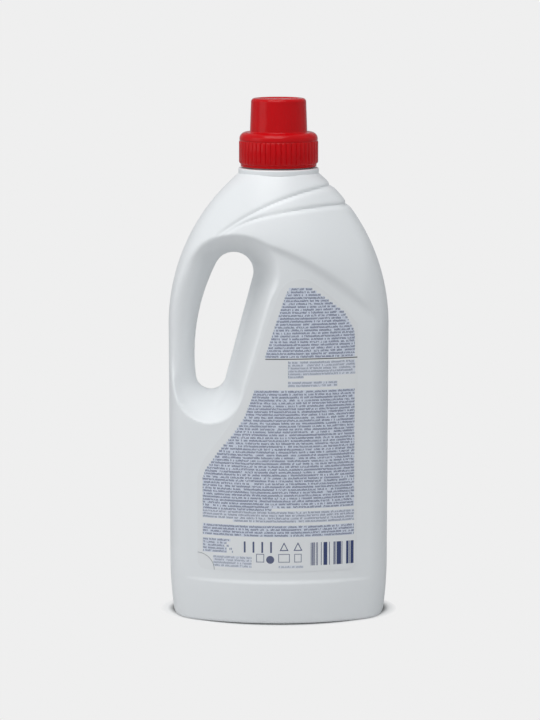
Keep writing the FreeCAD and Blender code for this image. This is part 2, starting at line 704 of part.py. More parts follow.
def slanted_slab(radius, low, high, thick):
    """Round slab that slopes down towards -X, from z high to z low at its edges, thick upright."""
    corners = []
    for x, z in ((-radius, low), (radius, high), (radius, high + thick), (-radius, low + thick)):
        corners.append(Vector(x, -radius, z))
    slab = Part.Face(Part.makePolygon(corners + corners[:1])).extrude(Vector(0, 2 * radius, 0))
    tall = high + thick - low
    return slab.common(Part.makeCylinder(radius, tall, Vector(0, 0, low)))


def pour_spout():
    plug = NECK_BORE - PLUG_GAP
    floor_z = NECK_TOP - PLUG_DEPTH
    ring = tube(plug, plug - PLUG_WALL, floor_z, FLANGE_TOP)
    flange = tube(NECK_RADIUS - FLANGE_MARGIN, plug - PLUG_WALL, NECK_TOP, FLANGE_TOP)
    floor = slanted_slab(plug - PLUG_WALL / 2, floor_z, floor_z + FLOOR_RISE, FLOOR_THICK)
    tall = PLUG_DEPTH + SPOUT_HEIGHT
    spout = Part.makeCylinder(SPOUT_RADIUS, tall, Vector(0, 0, floor_z))
    reach = SPOUT_RADIUS + PASS
    high = NECK_TOP + SPOUT_HEIGHT
    lip = slanted_slab(reach, high - SPOUT_SLANT, high, SPOUT_HEIGHT)
    low = floor_z - SPOUT_HEIGHT
    foot = slanted_slab(reach, low, low + FLOOR_RISE, SPOUT_HEIGHT)
    spout = spout.cut([lip, foot])
    body = ring.fuse([flange, floor, spout])
    bore = Part.makeCylinder(SPOUT_RADIUS - SPOUT_WALL, tall + 2 * PASS, Vector(0, 0, floor_z - PASS))
    drain = Part.makeBox(reach, DRAIN_WIDTH, tall)
    drain.translate(Vector(-reach, -DRAIN_WIDTH / 2, floor_z + FLOOR_THICK / 2))
    return body.cut([bore, drain])


def seal_ring():
    bore = CUP_RADIUS - CUP_WALL + SEAL_MARGIN
    bottom = FLANGE_TOP + SEAL_GAP
    return tube(CAP_BORE - SCREW_GAP, bore, bottom, bottom + SEAL_THICK)


def label_wire():
    """Outline of the label in the XZ plane."""
    crest_x, crest_z, crest = PANEL_CREST
    crest -= LABEL_MARGIN
    peak_x, peak_z = LABEL_PEAK
    peak = crest - math.hypot(peak_x - crest_x, peak_z - crest_z)
    touch = math.degrees(math.atan2(peak_z - crest_z, peak_x - crest_x))
    start = math.degrees(math.acos((LABEL_RIGHT - crest_x) / crest))
    end = math.radians(LABEL_PEAK_END)
    slope = [Vector(peak_x + peak * math.cos(end), 0, peak_z + peak * math.sin(end))]
    slope += [Vector(x, 0, z) for x, z in LABEL_SLOPE]
    slope.append(Vector(LABEL_LEFT, 0, LABEL_SLOPE_FOOT))
    side = Part.BSplineCurve()
    side.interpolate(slope)
    low = LABEL_BOTTOM + LABEL_CORNER
    top = crest_z + crest * math.sin(math.radians(start))
    return joined(
        xz_arc(crest_x, crest_z, crest, start, touch, 0),
        xz_arc(peak_x, peak_z, peak, touch, LABEL_PEAK_END, 0),
        [side.toShape()],
        xz_line(LABEL_LEFT, LABEL_SLOPE_FOOT, LABEL_LEFT, low, 0),
        xz_arc(LABEL_LEFT + LABEL_CORNER, low, LABEL_CORNER, 180, 270, 0),
        xz_line(LABEL_LEFT + LABEL_CORNER, LABEL_BOTTOM, LABEL_RIGHT - LABEL_CORNER, LABEL_BOTTOM, 0),
        xz_arc(LABEL_RIGHT - LABEL_CORNER, low, LABEL_CORNER, 270, 360, 0),
        xz_line(LABEL_RIGHT, low, LABEL_RIGHT, top, 0))


def label_ply(inner, thick):
    """One ply of the label, wrapped on the panel."""
    axis_y = PANEL_RADIUS - HALF_DEPTH + PANEL_DEPTH
    shell = tube(PANEL_RADIUS + inner + thick, PANEL_RADIUS + inner, 0, SHOULDER_TOP)
    shell.translate(Vector(0, axis_y, 0))
    return shell.common(prism(label_wire(), -HALF_DEPTH * 1.2, -HALF_DEPTH * 0.4))


def label_base():
    return label_ply(0.0, BASE_PLY)


def label_cover():
    ply = label_ply(BASE_PLY, COVER_PLY)
    corner = Vector(LABEL_LEFT, 0, LABEL_BOTTOM)
    return ply.cut(Part.makeCylinder(PEEL_RADIUS, HALF_DEPTH, corner, Vector(0, -1, 0)))


PIECES = {
    "bottle_foot": bottle_foot,
    "bottle_body": bottle_body,
    "bottle_grip": bottle_grip,
    "bottle_shoulder": bottle_shoulder,
    "bottle_neck": bottle_neck,
    "dosing_cap": dosing_cap,
    "pour_spout": pour_spout,
    "seal_ring": seal_ring,
    "label_base": label_base,
    "label_cover": label_cover,
}


def main():
    os.makedirs("parts", exist_ok=True)
    for name, make in PIECES.items():
        shape = make()
        if shape.ShapeType == "Compound" and len(shape.Solids) == 1:
            shape = shape.Solids[0]
        print(name, shape.isValid(), len(shape.Solids), "solid", round(shape.Volume, 1), "mm3")
        shape.exportStep("parts/" + name + ".step")


main()
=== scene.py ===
"""Looks of the laundry detergent bottle: its blown shell, neck, dosing cap, spout, seal, label and stage."""

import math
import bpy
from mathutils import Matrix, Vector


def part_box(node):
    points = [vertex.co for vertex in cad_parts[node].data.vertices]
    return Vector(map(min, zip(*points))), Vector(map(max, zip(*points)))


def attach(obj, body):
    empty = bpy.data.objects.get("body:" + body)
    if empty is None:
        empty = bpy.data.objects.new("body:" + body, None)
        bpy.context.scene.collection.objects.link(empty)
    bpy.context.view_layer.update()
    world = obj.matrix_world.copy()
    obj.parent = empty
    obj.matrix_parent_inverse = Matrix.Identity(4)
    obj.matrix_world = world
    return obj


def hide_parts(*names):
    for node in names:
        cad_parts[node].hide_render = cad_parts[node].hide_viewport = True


bl_info = {
    "name": "Laundry Detergent Bottle",
    "version": (1, 0, 0),
    "blender": (4, 5, 0),
    "location": "View3D > Sidebar > Bottle",
    "description": "Dresses the packed detergent bottle with its moulded shapes and plastics",
    "category": "Object",
}

import bpy
import numpy as np
from mathutils import Matrix, Vector

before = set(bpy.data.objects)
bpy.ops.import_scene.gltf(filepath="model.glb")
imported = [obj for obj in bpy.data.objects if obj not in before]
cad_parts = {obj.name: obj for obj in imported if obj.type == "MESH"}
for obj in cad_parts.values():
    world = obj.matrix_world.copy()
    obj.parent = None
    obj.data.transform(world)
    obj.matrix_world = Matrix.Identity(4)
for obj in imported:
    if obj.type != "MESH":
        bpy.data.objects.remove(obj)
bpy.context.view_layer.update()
CAP_BOX = [list(corner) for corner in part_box("dosing_cap")]
ZONES = sorted(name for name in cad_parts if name.startswith("bottle"))
MM = 0.001


# Sizes and colours

def mm(length):
    """A property's length in millimetres, without the stray last digits of its single precision."""
    return round(length / MM, 4)


class ShellSizes(bpy.types.PropertyGroup):
    half_width: bpy.props.FloatProperty(
        name="Half width", description="Middle of the body to its side",
        default=0.0632, precision=4, subtype="DISTANCE")
    half_depth: bpy.props.FloatProperty(
        name="Half depth", description="Middle of the body to its front",
        default=0.0387, precision=4, subtype="DISTANCE")
    panel_depth: bpy.props.FloatProperty(
        name="Panel depth", description="How far the label panel is set back",
        default=0.001, precision=4, subtype="DISTANCE")
    groove_depth: bpy.props.FloatProperty(
        name="Groove depth", description="Deepest point of the shoulder grooves",
        default=0.0015, precision=4, subtype="DISTANCE")
    colour: bpy.props.FloatVectorProperty(
        name="Plastic", description="Colour of the blown bottle",
        default=(0.885, 0.90, 0.91), size=3, subtype="COLOR")
    roughness: bpy.props.FloatProperty(
        name="Roughness", description="Roughness of the blown bottle",
        default=0.36, min=0.0, max=1.0, subtype="FACTOR")


class CapSizes(bpy.types.PropertyGroup):
    ribs: bpy.props.IntProperty(
        name="Ribs", description="Number of grip ribs round the skirt", default=48, min=12, max=96)
    rib_depth: bpy.props.FloatProperty(
        name="Rib depth", description="How far a rib stands proud",
        default=0.00045, precision=5, subtype="DISTANCE")
    colour: bpy.props.FloatVectorProperty(
        name="Plastic", description="Colour of the cap",
        default=(0.585, 0.0, 0.003), size=3, subtype="COLOR")
    roughness: bpy.props.FloatProperty(
        name="Roughness", description="Roughness of the cap",
        default=0.14, min=0.0, max=1.0, subtype="FACTOR")


class LabelSizes(bpy.types.PropertyGroup):
    row_pitch: bpy.props.FloatProperty(
        name="Row pitch", description="Distance between printed rows",
        default=0.00166, precision=5, subtype="DISTANCE")
    film: bpy.props.FloatVectorProperty(
        name="Film", description="Colour of the bare label film",
        default=(0.86, 0.87, 0.88), size=3, subtype="COLOR")
    wash: bpy.props.FloatVectorProperty(
        name="Print haze", description="Colour between the fine strokes",
        default=(0.69, 0.735, 0.85), size=3, subtype="COLOR")
    ink: bpy.props.FloatVectorProperty(
        name="Ink", description="Colour of the printed rows",
        default=(0.035, 0.055, 0.165), size=3, subtype="COLOR")


class StageSettings(bpy.types.PropertyGroup):
    backdrop: bpy.props.FloatProperty(
        name="Backdrop", description="Grey level of the backdrop as the camera sees it",
        default=0.863, min=0.0, max=1.0, subtype="FACTOR")
    floor: bpy.props.FloatProperty(
        name="Floor", description="Grey level of the floor as the bottle sees it, under the lamps",
        default=0.62, min=0.0, max=1.0, subtype="FACTOR")
    top_light: bpy.props.FloatProperty(
        name="Top light", description="Power of the large light overhead, in watts", default=14.6, min=0.0)
    side_light: bpy.props.FloatProperty(
        name="Side light", description="Power of the large light on the left, in watts", default=3.2, min=0.0)
    surroundings: bpy.props.FloatProperty(
        name="Surroundings", description="Strength of the light from all round", default=0.515, min=0.0)


# The body's plan and its features, in mm. Points are (x, z) seen from the front, depths count from the middle

SHOULDER_START, SHOULDER_TOP, SHOULDER_TOP_RADIUS = 168.2, 255.6, 22.4
FRONT_LEAN_START = 198.5      # the front leans in from higher up than the sides
FOOT_HEIGHT, FOOT_TAPER, BASE_ROUND = 31.3, 2.1, 1.6
PUSH_UP_RIM, PUSH_UP_SLOPE, PUSH_UP_DEPTH = 9.4, 7.3, 4.2
FRONT_RADIUS, SIDE_RADIUS, CORNER_RADIUS = 123.0, 62.7, 16.7
TOP_ARC_RADIUS, TOP_CORNER_RADIUS = 27.2, 18.3
RIGHT_COUNTS = (44, 16, 9)    # points on the front arc, the corner and the side arc of a quarter
LEFT_COUNTS = (84, 22, 14)    # finer on the left, where the handle is

PANEL_RADIUS = 130.6
PANEL_SIDE, PANEL_EDGE = 50.0, 55.5      # the panel fades out between these distances from the middle
PANEL_LEDGE = (23.9, 26.0)    # heights between which it sinks in above the foot
PANEL_ROUND = 0.6             # round where its arc meets the body's front

CREST = (
    (-54.0, 206.8), (-48.3, 211.2), (-41.4, 214.8), (-35.7, 217.4), (-27.2, 219.5), (-21.0, 219.7),
    (-16.0, 219.1), (-4.8, 216.8), (6.4, 212.4), (17.5, 207.0), (28.8, 199.9), (40.1, 190.6),
    (47.0, 184.6), (52.1, 179.5), (60.0, 170.0))
CREST_DEGREE = 5
CREST_RISE, CREST_WIDTH = 2.6, 5.4
CREST_LEFT, CREST_RIGHT = (-24.0, 0.0), (47.0, 58.0)     # where its rise comes in and goes out
CREST_UP = (3.0, 36.0)        # distance above the crest over which the rise dies away
CREST_WIDENS = (-10.0, 40.0)
CREST_NARROW, CREST_GAIN = 0.7, 0.4      # share of its width on the left, and what it gains to the right

GROOVE_HIGH = (
    (-35.0, 222.2), (-29.0, 226.9), (-17.5, 234.0), (-3.7, 240.8), (8.8, 245.2), (18.5, 247.5),
    (27.8, 248.9), (34.0, 249.3))
GROOVE_LOW = (
    (-30.5, 223.5), (-27.2, 226.2), (-16.0, 231.6), (-4.8, 234.6), (6.4, 236.9), (17.6, 238.3),
    (28.9, 238.7), (44.0, 237.9))
GROOVE_DEGREE = 4
GROOVE_WIDTH, GROOVE_GAIN = 1.5, 0.9     # at its left end, and what it gains to the right
GROOVE_FADE = 0.34            # power with which the depth grows from the left end
GROOVE_SECTION = ((-0.9, 0.0), (-0.3, 0.22), (0.1, 0.85), (0.3, 1.0), (0.5, 0.85), (0.9, 0.12), (1.2, 0.0))

# The handle's opening: the round ends as (x, z, radius), and the radius of its bowed side

EYE_LOW = (-39.1, 139.0, 8.7)
EYE_HIGH = (-25.7, 198.8, 11.3)
EYE_BOW = 117.0
WEB = 1.0                     # half thickness of the flat web round the opening
WEB_EDGE = 0.6                # how far out from the opening's edge the web stays flat
CUTTER_STEP, CUTTER_REACH = 1.2, 60.0    # of the block that cuts it out

# The pocket round it. Depths are worked out on a grid of cells seen from the front

CELL = 0.5
CHUNK = 4000                  # cells handled at a time
POCKET_BOX = (-72.0, 100.0, 30.0, 240.0)   # x and z of its low and high corners
DEEPEST = 46.0                # deeper than any surface of the body
NO_POCKET = DEEPEST + 14.0    # a depth that touches nothing
STEEPEST = 3.0                # slope of the surface past the last point of a section
SECTION_REACH, SECTION_SPREAD = 24, 9.0    # how far the sections blend round the opening, in edge steps
FIELD_BLUR = 2.4              # in cells
POCKET_ROUND, ROOF_ROUND, GRIP_ROUND = 6.0, 8.0, 9.0     # edge of the pocket, and what two places add to it
ROOF_HEIGHTS, ROOF_ACROSS = (188.0, 204.0), (-14.0, 12.0)
GRIP_HEIGHTS, GRIP_ACROSS = (124.0, 150.0), (-54.0, -36.0)

# Sections of the pocket across the edge of the opening. Each row is a place round the opening, as a share
# of its length from the low end of its straight side, and then distance out and depth of five points

POCKET = (
    (0.020, 0.9, 1.1, 3.8, 2.6, 6.4, 17.0, 9.4, 36.5, 12.0, 46.0),
    (0.100, 1.0, 1.1, 3.5, 1.8, 6.6, 17.0, 9.8, 36.5, 12.4, 46.0),
    (0.220, 1.0, 1.1, 3.6, 2.0, 6.6, 17.0, 10.0, 36.5, 13.0, 46.0),
    (0.310, 1.0, 1.1, 4.6, 2.0, 7.4, 17.0, 10.0, 36.0, 13.0, 46.0),
    (0.345, 1.0, 1.1, 4.4, 2.0, 7.6, 18.0, 11.0, 35.5, 15.0, 46.0),
    (0.372, 1.0, 1.1, 3.2, 1.6, 7.8, 19.0, 13.5, 35.5, 18.0, 46.0),
    (0.405, 0.8, 1.1, 1.9, 1.3, 7.4, 19.0, 13.6, 36.5, 15.0, 46.0),
    (0.440, 0.8, 1.1, 2.0, 1.3, 6.6, 18.0, 11.4, 36.5, 12.4, 46.0),
    (0.466, 1.0, 1.5, 3.4, 3.0, 7.8, 19.0, 12.2, 36.5, 13.2, 46.0),
    (0.493, 2.0, 4.5, 7.0, 13.0, 11.0, 23.0, 15.4, 33.0, 20.0, 44.0),
    (0.515, 2.4, 7.5, 7.6, 15.5, 13.0, 23.0, 19.0, 31.0, 25.0, 40.0),
    (0.550, 2.2, 8.5, 6.2, 15.0, 12.0, 21.0, 19.0, 28.0, 26.0, 37.0),
    (0.600, 1.8, 8.0, 5.0, 14.0, 10.0, 18.5, 16.0, 23.0, 24.0, 32.0),
    (0.680, 1.6, 7.5, 4.5, 12.5, 9.0, 15.8, 14.0, 17.5, 24.0, 21.0),
    (0.780, 1.6, 7.5, 4.5, 12.5, 9.0, 15.2, 14.0, 16.5, 24.0, 20.0),
    (0.845, 1.8, 7.0, 5.0, 11.8, 9.8, 15.6, 13.0, 20.0, 20.0, 30.0),
    (0.872, 2.0, 5.5, 6.0, 11.0, 10.2, 16.0, 13.0, 30.0, 16.0, 46.0),
    (0.896, 2.5, 5.0, 6.4, 10.5, 11.3, 16.0, 14.2, 34.0, 16.5, 46.0),
    (0.917, 2.5, 5.0, 7.0, 10.5, 12.7, 16.5, 16.4, 37.0, 18.0, 46.0),
    (0.935, 2.5, 4.8, 7.0, 10.5, 11.9, 16.0, 15.4, 37.0, 17.0, 46.0),
    (0.953, 2.0, 3.8, 5.0, 8.0, 8.4, 12.5, 13.4, 36.5, 15.5, 46.0),
    (0.972, 1.2, 1.8, 3.0, 3.6, 5.2, 7.5, 11.0, 36.5, 13.5, 46.0),
    (0.992, 0.9, 1.2, 2.2, 2.0, 4.2, 5.5, 9.6, 36.5, 12.0, 46.0),
)


def lean(z, start, amount):
    """How far an arc that leaves the upright at start has leaned in at height z, for amount at the top."""
    rise = SHOULDER_TOP - start
    radius = (rise * rise + amount * amount) / (2 * amount)
    over = max(0.0, z - start)
    return radius - math.sqrt(radius * radius - over * over)


def plan_quarter(sizes, z, inset, counts):
    """Points from the middle of the front to the middle of the right side, at height z."""
    half_width, half_depth = mm(sizes.half_width), mm(sizes.half_depth)
    share = min(1.0, max(0.0, (z - SHOULDER_START) / (SHOULDER_TOP - SHOULDER_START)))
    taper = FOOT_TAPER * max(0.0, 1 - z / FOOT_HEIGHT) ** 2 + inset
    width = half_width - lean(z, SHOULDER_START, half_width - SHOULDER_TOP_RADIUS) - taper
    depth = half_depth - lean(z, FRONT_LEAN_START, half_depth - SHOULDER_TOP_RADIUS) - taper
    front = FRONT_RADIUS + (TOP_ARC_RADIUS - FRONT_RADIUS) * share - inset
    side = SIDE_RADIUS + (TOP_ARC_RADIUS - SIDE_RADIUS) * share - inset
    corner = max(1.0, CORNER_RADIUS + (TOP_CORNER_RADIUS - CORNER_RADIUS) * share - inset)
    front_y, side_x = front - depth, width - side
    gap = math.hypot(side_x, front_y)
    along = ((front - corner) ** 2 - (side - corner) ** 2 + gap ** 2) / (2 * gap)
    off = math.sqrt((front - corner) ** 2 - along ** 2)
    ux, uy = side_x / gap, -front_y / gap
    corner_x, corner_y = ux * along - uy * off, front_y + uy * along + ux * off
    if corner_y > 0:
        corner_x, corner_y = ux * along + uy * off, front_y + uy * along - ux * off
    front_end = math.atan2(corner_y - front_y, corner_x)
    side_start = math.atan2(corner_y, corner_x - side_x)
    points = []
    for x, y, radius, start, end, count in (
            (0, front_y, front, -math.pi / 2, front_end, counts[0]),
            (corner_x, corner_y, corner, front_end, side_start, counts[1]),
            (side_x, 0, side, side_start, 0.0, counts[2])):
        for k in range(count):
            a = start + (end - start) * k / count
            points.append((x + radius * math.cos(a), y + radius * math.sin(a), math.cos(a), math.sin(a)))
    points.append((width, 0.0, 1.0, 0.0))
    return np.array(points)


def plan_ring(sizes, z, inset):
    """Closed ring of (x, y, outward x, outward y) at height z."""
    right = plan_quarter(sizes, z, inset, RIGHT_COUNTS)
    left = plan_quarter(sizes, z, inset, LEFT_COUNTS) * (-1, 1, -1, 1)
    back = (1, -1, 1, -1)
    return np.vstack((right, right[-2::-1] * back, (left * back)[1:], left[-2:0:-1]))


def flat_ring(ring, z, share=1.0):
    """Points of a plan ring at one height, drawn in towards the middle by a share."""
    return np.column_stack((ring[:, :2] * share, np.full(len(ring), z)))


def bow_centre():
    """Centre of the bowed side of the opening, which touches both round ends."""
    to_low, to_high = EYE_BOW - EYE_LOW[2], EYE_BOW - EYE_HIGH[2]
    dx, dz = EYE_HIGH[0] - EYE_LOW[0], EYE_HIGH[1] - EYE_LOW[1]
    gap = math.hypot(dx, dz)
    along = (to_low ** 2 - to_high ** 2 + gap ** 2) / (2 * gap)
    off = math.sqrt(to_low ** 2 - along ** 2)
    return EYE_LOW[0] + dx / gap * along + dz / gap * off, EYE_LOW[1] + dz / gap * along - dx / gap * off


def eye_outline(step):
    """Rows of (x, z, outward x, outward z) round the opening, from the low end of its straight side."""
    dx, dz = EYE_HIGH[0] - EYE_LOW[0], EYE_HIGH[1] - EYE_LOW[1]
    lean_to = math.atan2(dz, dx) - math.acos((EYE_LOW[2] - EYE_HIGH[2]) / math.hypot(dx, dz))
    cx, cz = bow_centre()
    low = math.atan2(EYE_LOW[1] - cz, EYE_LOW[0] - cx) % (2 * math.pi)
    high = math.atan2(EYE_HIGH[1] - cz, EYE_HIGH[0] - cx) % (2 * math.pi)
    out = math.cos(lean_to), math.sin(lean_to)
    first, last = [(x + r * out[0], z + r * out[1]) for x, z, r in (EYE_LOW, EYE_HIGH)]
    count = int(math.dist(first, last) / step)
    points = [(first[0] + (last[0] - first[0]) * k / count, first[1] + (last[1] - first[1]) * k / count, *out)
              for k in range(count)]
    for (x, z, r), start, end in ((EYE_HIGH, lean_to, high), ((cx, cz, EYE_BOW), high, low),
                                  (EYE_LOW, low, lean_to + 2 * math.pi)):
        count = max(4, int((end - start) * r / step))
        for k in range(count):
            a = start + (end - start) * k / count
            points.append((x + r * math.cos(a), z + r * math.sin(a), math.cos(a), math.sin(a)))
    return np.array(points)


def bell_curve(reach, spread):
    """Weights that sum to one, for the steps from -reach to reach."""
    bell = np.exp(-0.5 * (np.arange(-reach, reach + 1) / spread) ** 2)
    return bell / bell.sum()


def blurred(field, spread):
    """The field smoothed both ways by a bell curve, in cells."""
    reach = int(3 * spread) + 1
    bell = bell_curve(reach, spread)
    for axis in (0, 1):
        pad = [(0, 0), (0, 0)]
        pad[axis] = (reach, reach)
        padded = np.pad(field, pad, mode="edge")
        cells = field.shape[axis]
        field = sum(w * np.take(padded, range(k, k + cells), axis=axis) for k, w in enumerate(bell))
    return field


def soft_min(a, b, soft):
    """Smaller of two depths, with a round of this size where they cross."""
    h = np.clip(0.5 + 0.5 * (b - a) / soft, 0, 1)
    return b + (a - b) * h - soft * h * (1 - h)


def smooth(low, high, value):
    """Soft step from 0 at low to 1 at high."""
    share = np.clip((value - low) / (high - low), 0, 1)
    return share * share * (3 - 2 * share)


def pocket_field():
    """Greatest depth of the surface over the pocket and grip, on the grid of cells."""
    x = np.arange(POCKET_BOX[0], POCKET_BOX[2], CELL)
    z = np.arange(POCKET_BOX[1], POCKET_BOX[3], CELL)
    gx, gz = [g.ravel() for g in np.meshgrid(x, z, indexing="ij")]
    edge = eye_outline(CELL)
    steps = np.hypot(*(np.roll(edge[:, :2], -1, 0) - edge[:, :2]).T)
    share = np.concatenate(([0.0], np.cumsum(steps)[:-1])) / steps.sum()
    nearest = np.concatenate([
        ((gx[k:k + CHUNK, None] - edge[:, 0]) ** 2 + (gz[k:k + CHUNK, None] - edge[:, 1]) ** 2).argmin(1)
        for k in range(0, len(gx), CHUNK)])
    near = edge[nearest]
    out = (gx - near[:, 0]) * near[:, 2] + (gz - near[:, 1]) * near[:, 3]
    table = np.array(POCKET)
    places = np.concatenate((table[:, 0] - 1, table[:, 0], table[:, 0] + 1))
    knots = [np.interp(share, places, np.tile(table[:, k], 3)) for k in range(1, table.shape[1])]
    bell = bell_curve(SECTION_REACH, SECTION_SPREAD)
    turns = range(-SECTION_REACH, SECTION_REACH + 1)
    knots = [sum(w * np.roll(k, t) for t, w in zip(turns, bell))[nearest] for k in knots]
    spots = [np.zeros_like(out)] + knots[0::2]
    depths = [np.full_like(out, WEB)] + knots[1::2]
    depth = np.full_like(out, WEB)
    for k in range(len(spots) - 1):
        t = np.clip((out - spots[k]) / (spots[k + 1] - spots[k]), 0, 1)
        depth = np.where(out > spots[k], depths[k] + (depths[k + 1] - depths[k]) * t, depth)
    slope = np.clip((depths[-1] - depths[-2]) / (spots[-1] - spots[-2]), 0, STEEPEST)
    depth = np.where(out > spots[-1], depths[-1] + slope * (out - spots[-1]), depth)
    depth = blurred(np.minimum(depth, NO_POCKET).reshape(len(x), len(z)), FIELD_BLUR)
    depth[out.reshape(depth.shape) < WEB_EDGE] = WEB
    return depth


def sampled(field, x, z):
    """The pocket's field at these points, and far outside of it a depth that touches nothing."""
    u = (x - POCKET_BOX[0]) / CELL
    v = (z - POCKET_BOX[1]) / CELL
    i = np.clip(u.astype(int), 0, field.shape[0] - 2)
    j = np.clip(v.astype(int), 0, field.shape[1] - 2)
    fu, fv = np.clip(u - i, 0, 1), np.clip(v - j, 0, 1)
    value = ((field[i, j] * (1 - fu) + field[i + 1, j] * fu) * (1 - fv)
             + (field[i, j + 1] * (1 - fu) + field[i + 1, j + 1] * fu) * fv)
    outside = (u < 0) | (v < 0) | (u > field.shape[0] - 1) | (v > field.shape[1] - 1)
    return np.where(outside, NO_POCKET, value)


def height_above(line, degree, x, z):
    """Distance of points above the smooth curve through a line's points, square to the curve."""
    xs, zs = zip(*line)
    curve = np.poly1d(np.polyfit(xs, zs, degree))
    x = np.clip(x, xs[0], xs[-1])
    return (z - curve(x)) / np.sqrt(1 + curve.deriv()(x) ** 2)


def front_depth(sizes, x, z, plan):
    """Depth of the front with its label panel, and above it the crest that overhangs the panel."""
    half_depth = mm(sizes.half_depth)
    sunk = np.array([lean(float(h), FRONT_LEAN_START, half_depth - SHOULDER_TOP_RADIUS) for h in z])
    face = np.sqrt(np.maximum((PANEL_RADIUS - sunk) ** 2 - x ** 2, 0))
    face = soft_min(plan, face - (PANEL_RADIUS - half_depth + mm(sizes.panel_depth)), PANEL_ROUND)
    across = smooth(-PANEL_EDGE, -PANEL_SIDE, x) * (1 - smooth(PANEL_SIDE, PANEL_EDGE, x))
    panel = plan + (face - plan) * across * smooth(*PANEL_LEDGE, z)
    over = height_above(CREST, CREST_DEGREE, x, z)
    full = smooth(*CREST_LEFT, x) * (1 - smooth(*CREST_RIGHT, x)) * (1 - smooth(*CREST_UP, over))
    shoulder = plan + np.maximum(face + CREST_RISE - plan, 0) * full
    width = CREST_WIDTH * (CREST_NARROW + CREST_GAIN * smooth(*CREST_WIDENS, x))
    return panel + (shoulder - panel) * smooth(-width / 2, width / 2, over)


def groove_shift(x, z, line, depth):
    """How far a groove sinks the shoulder: a rolled upper edge, a narrow floor and an upturned lip."""
    below = -height_above(line, GROOVE_DEGREE, x, z)
    fade = np.clip((x - line[0][0]) / (line[-1][0] - line[0][0]), 0, 1)
    width = GROOVE_WIDTH + GROOVE_GAIN * fade
    return depth * fade ** GROOVE_FADE * np.interp(below / width, *zip(*GROOVE_SECTION))


# Mesh helpers

def deselect():
    for obj in bpy.context.selected_objects:
        obj.select_set(False)


def activate(obj):
    """Makes this the only selected object and the active one."""
    deselect()
    bpy.context.view_layer.objects.active = obj
    obj.select_set(True)


def start_editing(obj):
    """Enters edit mode with the whole mesh selected."""
    activate(obj)
    bpy.ops.object.mode_set(mode="EDIT")
    bpy.ops.mesh.select_all(action="SELECT")


def stop_editing(obj):
    bpy.ops.object.mode_set(mode="OBJECT")
    obj.select_set(False)


def face_outwards(obj):
    start_editing(obj)
    bpy.ops.mesh.normals_make_consistent(inside=False)
    stop_editing(obj)


def made_mesh(name, points, faces, edges=()):
    """New object from points in mm, faces and loose edges."""
    mesh = bpy.data.meshes.new(name)
    mesh.from_pydata([tuple(p) for p in points], edges, faces)
    mesh.transform(Matrix.Scale(MM, 4))
    obj = bpy.data.objects.new(name, mesh)
    bpy.context.scene.collection.objects.link(obj)
    return obj


def ring_faces(rings, count):
    """Faces between closed rings of count points each, and the faces that close the two ends."""
    faces = []
    for ring in range(rings - 1):
        low, high = ring * count, (ring + 1) * count
        for k in range(count):
            n = (k + 1) % count
            faces.append((low + k, low + n, high + n, high + k))
    last = (rings - 1) * count
    return faces + [tuple(reversed(range(count))), tuple(last + k for k in range(count))]


def shade(obj, degrees):
    """Smooth shading, with sharp edges where faces turn by more than these degrees."""
    activate(obj)
    bpy.ops.object.shade_smooth_by_angle(angle=math.radians(degrees))
    obj.select_set(False)


def applied(obj, kind, **settings):
    """Adds a modifier with these settings and applies it."""
    activate(obj)
    modifier = obj.modifiers.new(kind.title(), kind)
    for key, value in settings.items():
        setattr(modifier, key, value)
    bpy.ops.object.modifier_apply(modifier=modifier.name)
    obj.select_set(False)


def placed(obj, body, slot, material, *nodes):
    """Gives a finished piece its material and its body, and hides the solids that it stands for. The slot is
    not used.
    """
    obj.data.materials.clear()
    obj.data.materials.append(material)
    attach(obj, body)
    if nodes:
        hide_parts(*nodes)


def spun_profile(name, profile, steps=128):
    """Solid of revolution about Z of (radius, z) points in mm, made by the spin operator."""
    line = [(k, k + 1) for k in range(len(profile) - 1)]
    obj = made_mesh(name, [(r, 0, z) for r, z in profile], [], line)
    start_editing(obj)
    bpy.ops.mesh.spin(steps=steps, angle=2 * math.pi, center=(0, 0, 0), axis=(0, 0, 1))
    bpy.ops.mesh.select_all(action="SELECT")
    bpy.ops.mesh.remove_doubles(threshold=0.000002)
    bpy.ops.mesh.normals_make_consistent(inside=False)
    stop_editing(obj)
    return obj


def rounded(points, rounds, count=5):
    """Outline of (radius, z) points with a round of the given radius at each inner point."""
    out = [points[0]]
    for k in range(1, len(points) - 1):
        radius = rounds[k - 1]
        p, a, b = np.array(points[k]), np.array(points[k - 1]), np.array(points[k + 1])
        ua, ub = (a - p) / np.linalg.norm(a - p), (b - p) / np.linalg.norm(b - p)
        half = math.acos(np.clip(ua @ ub, -1, 1)) / 2
        back = radius / math.tan(half)
        centre = p + (ua + ub) / np.linalg.norm(ua + ub) * radius / math.sin(half)
        start, end = p + ua * back - centre, p + ub * back - centre
        a0, a1 = math.atan2(start[1], start[0]), math.atan2(end[1], end[0])
        turn = (a1 - a0 + math.pi) % (2 * math.pi) - math.pi
        for i in range(count + 1):
            a = a0 + turn * i / count
            out.append((centre[0] + radius * math.cos(a), centre[1] + radius * math.sin(a)))
    out.append(points[-1])
    return out


# Shader helpers

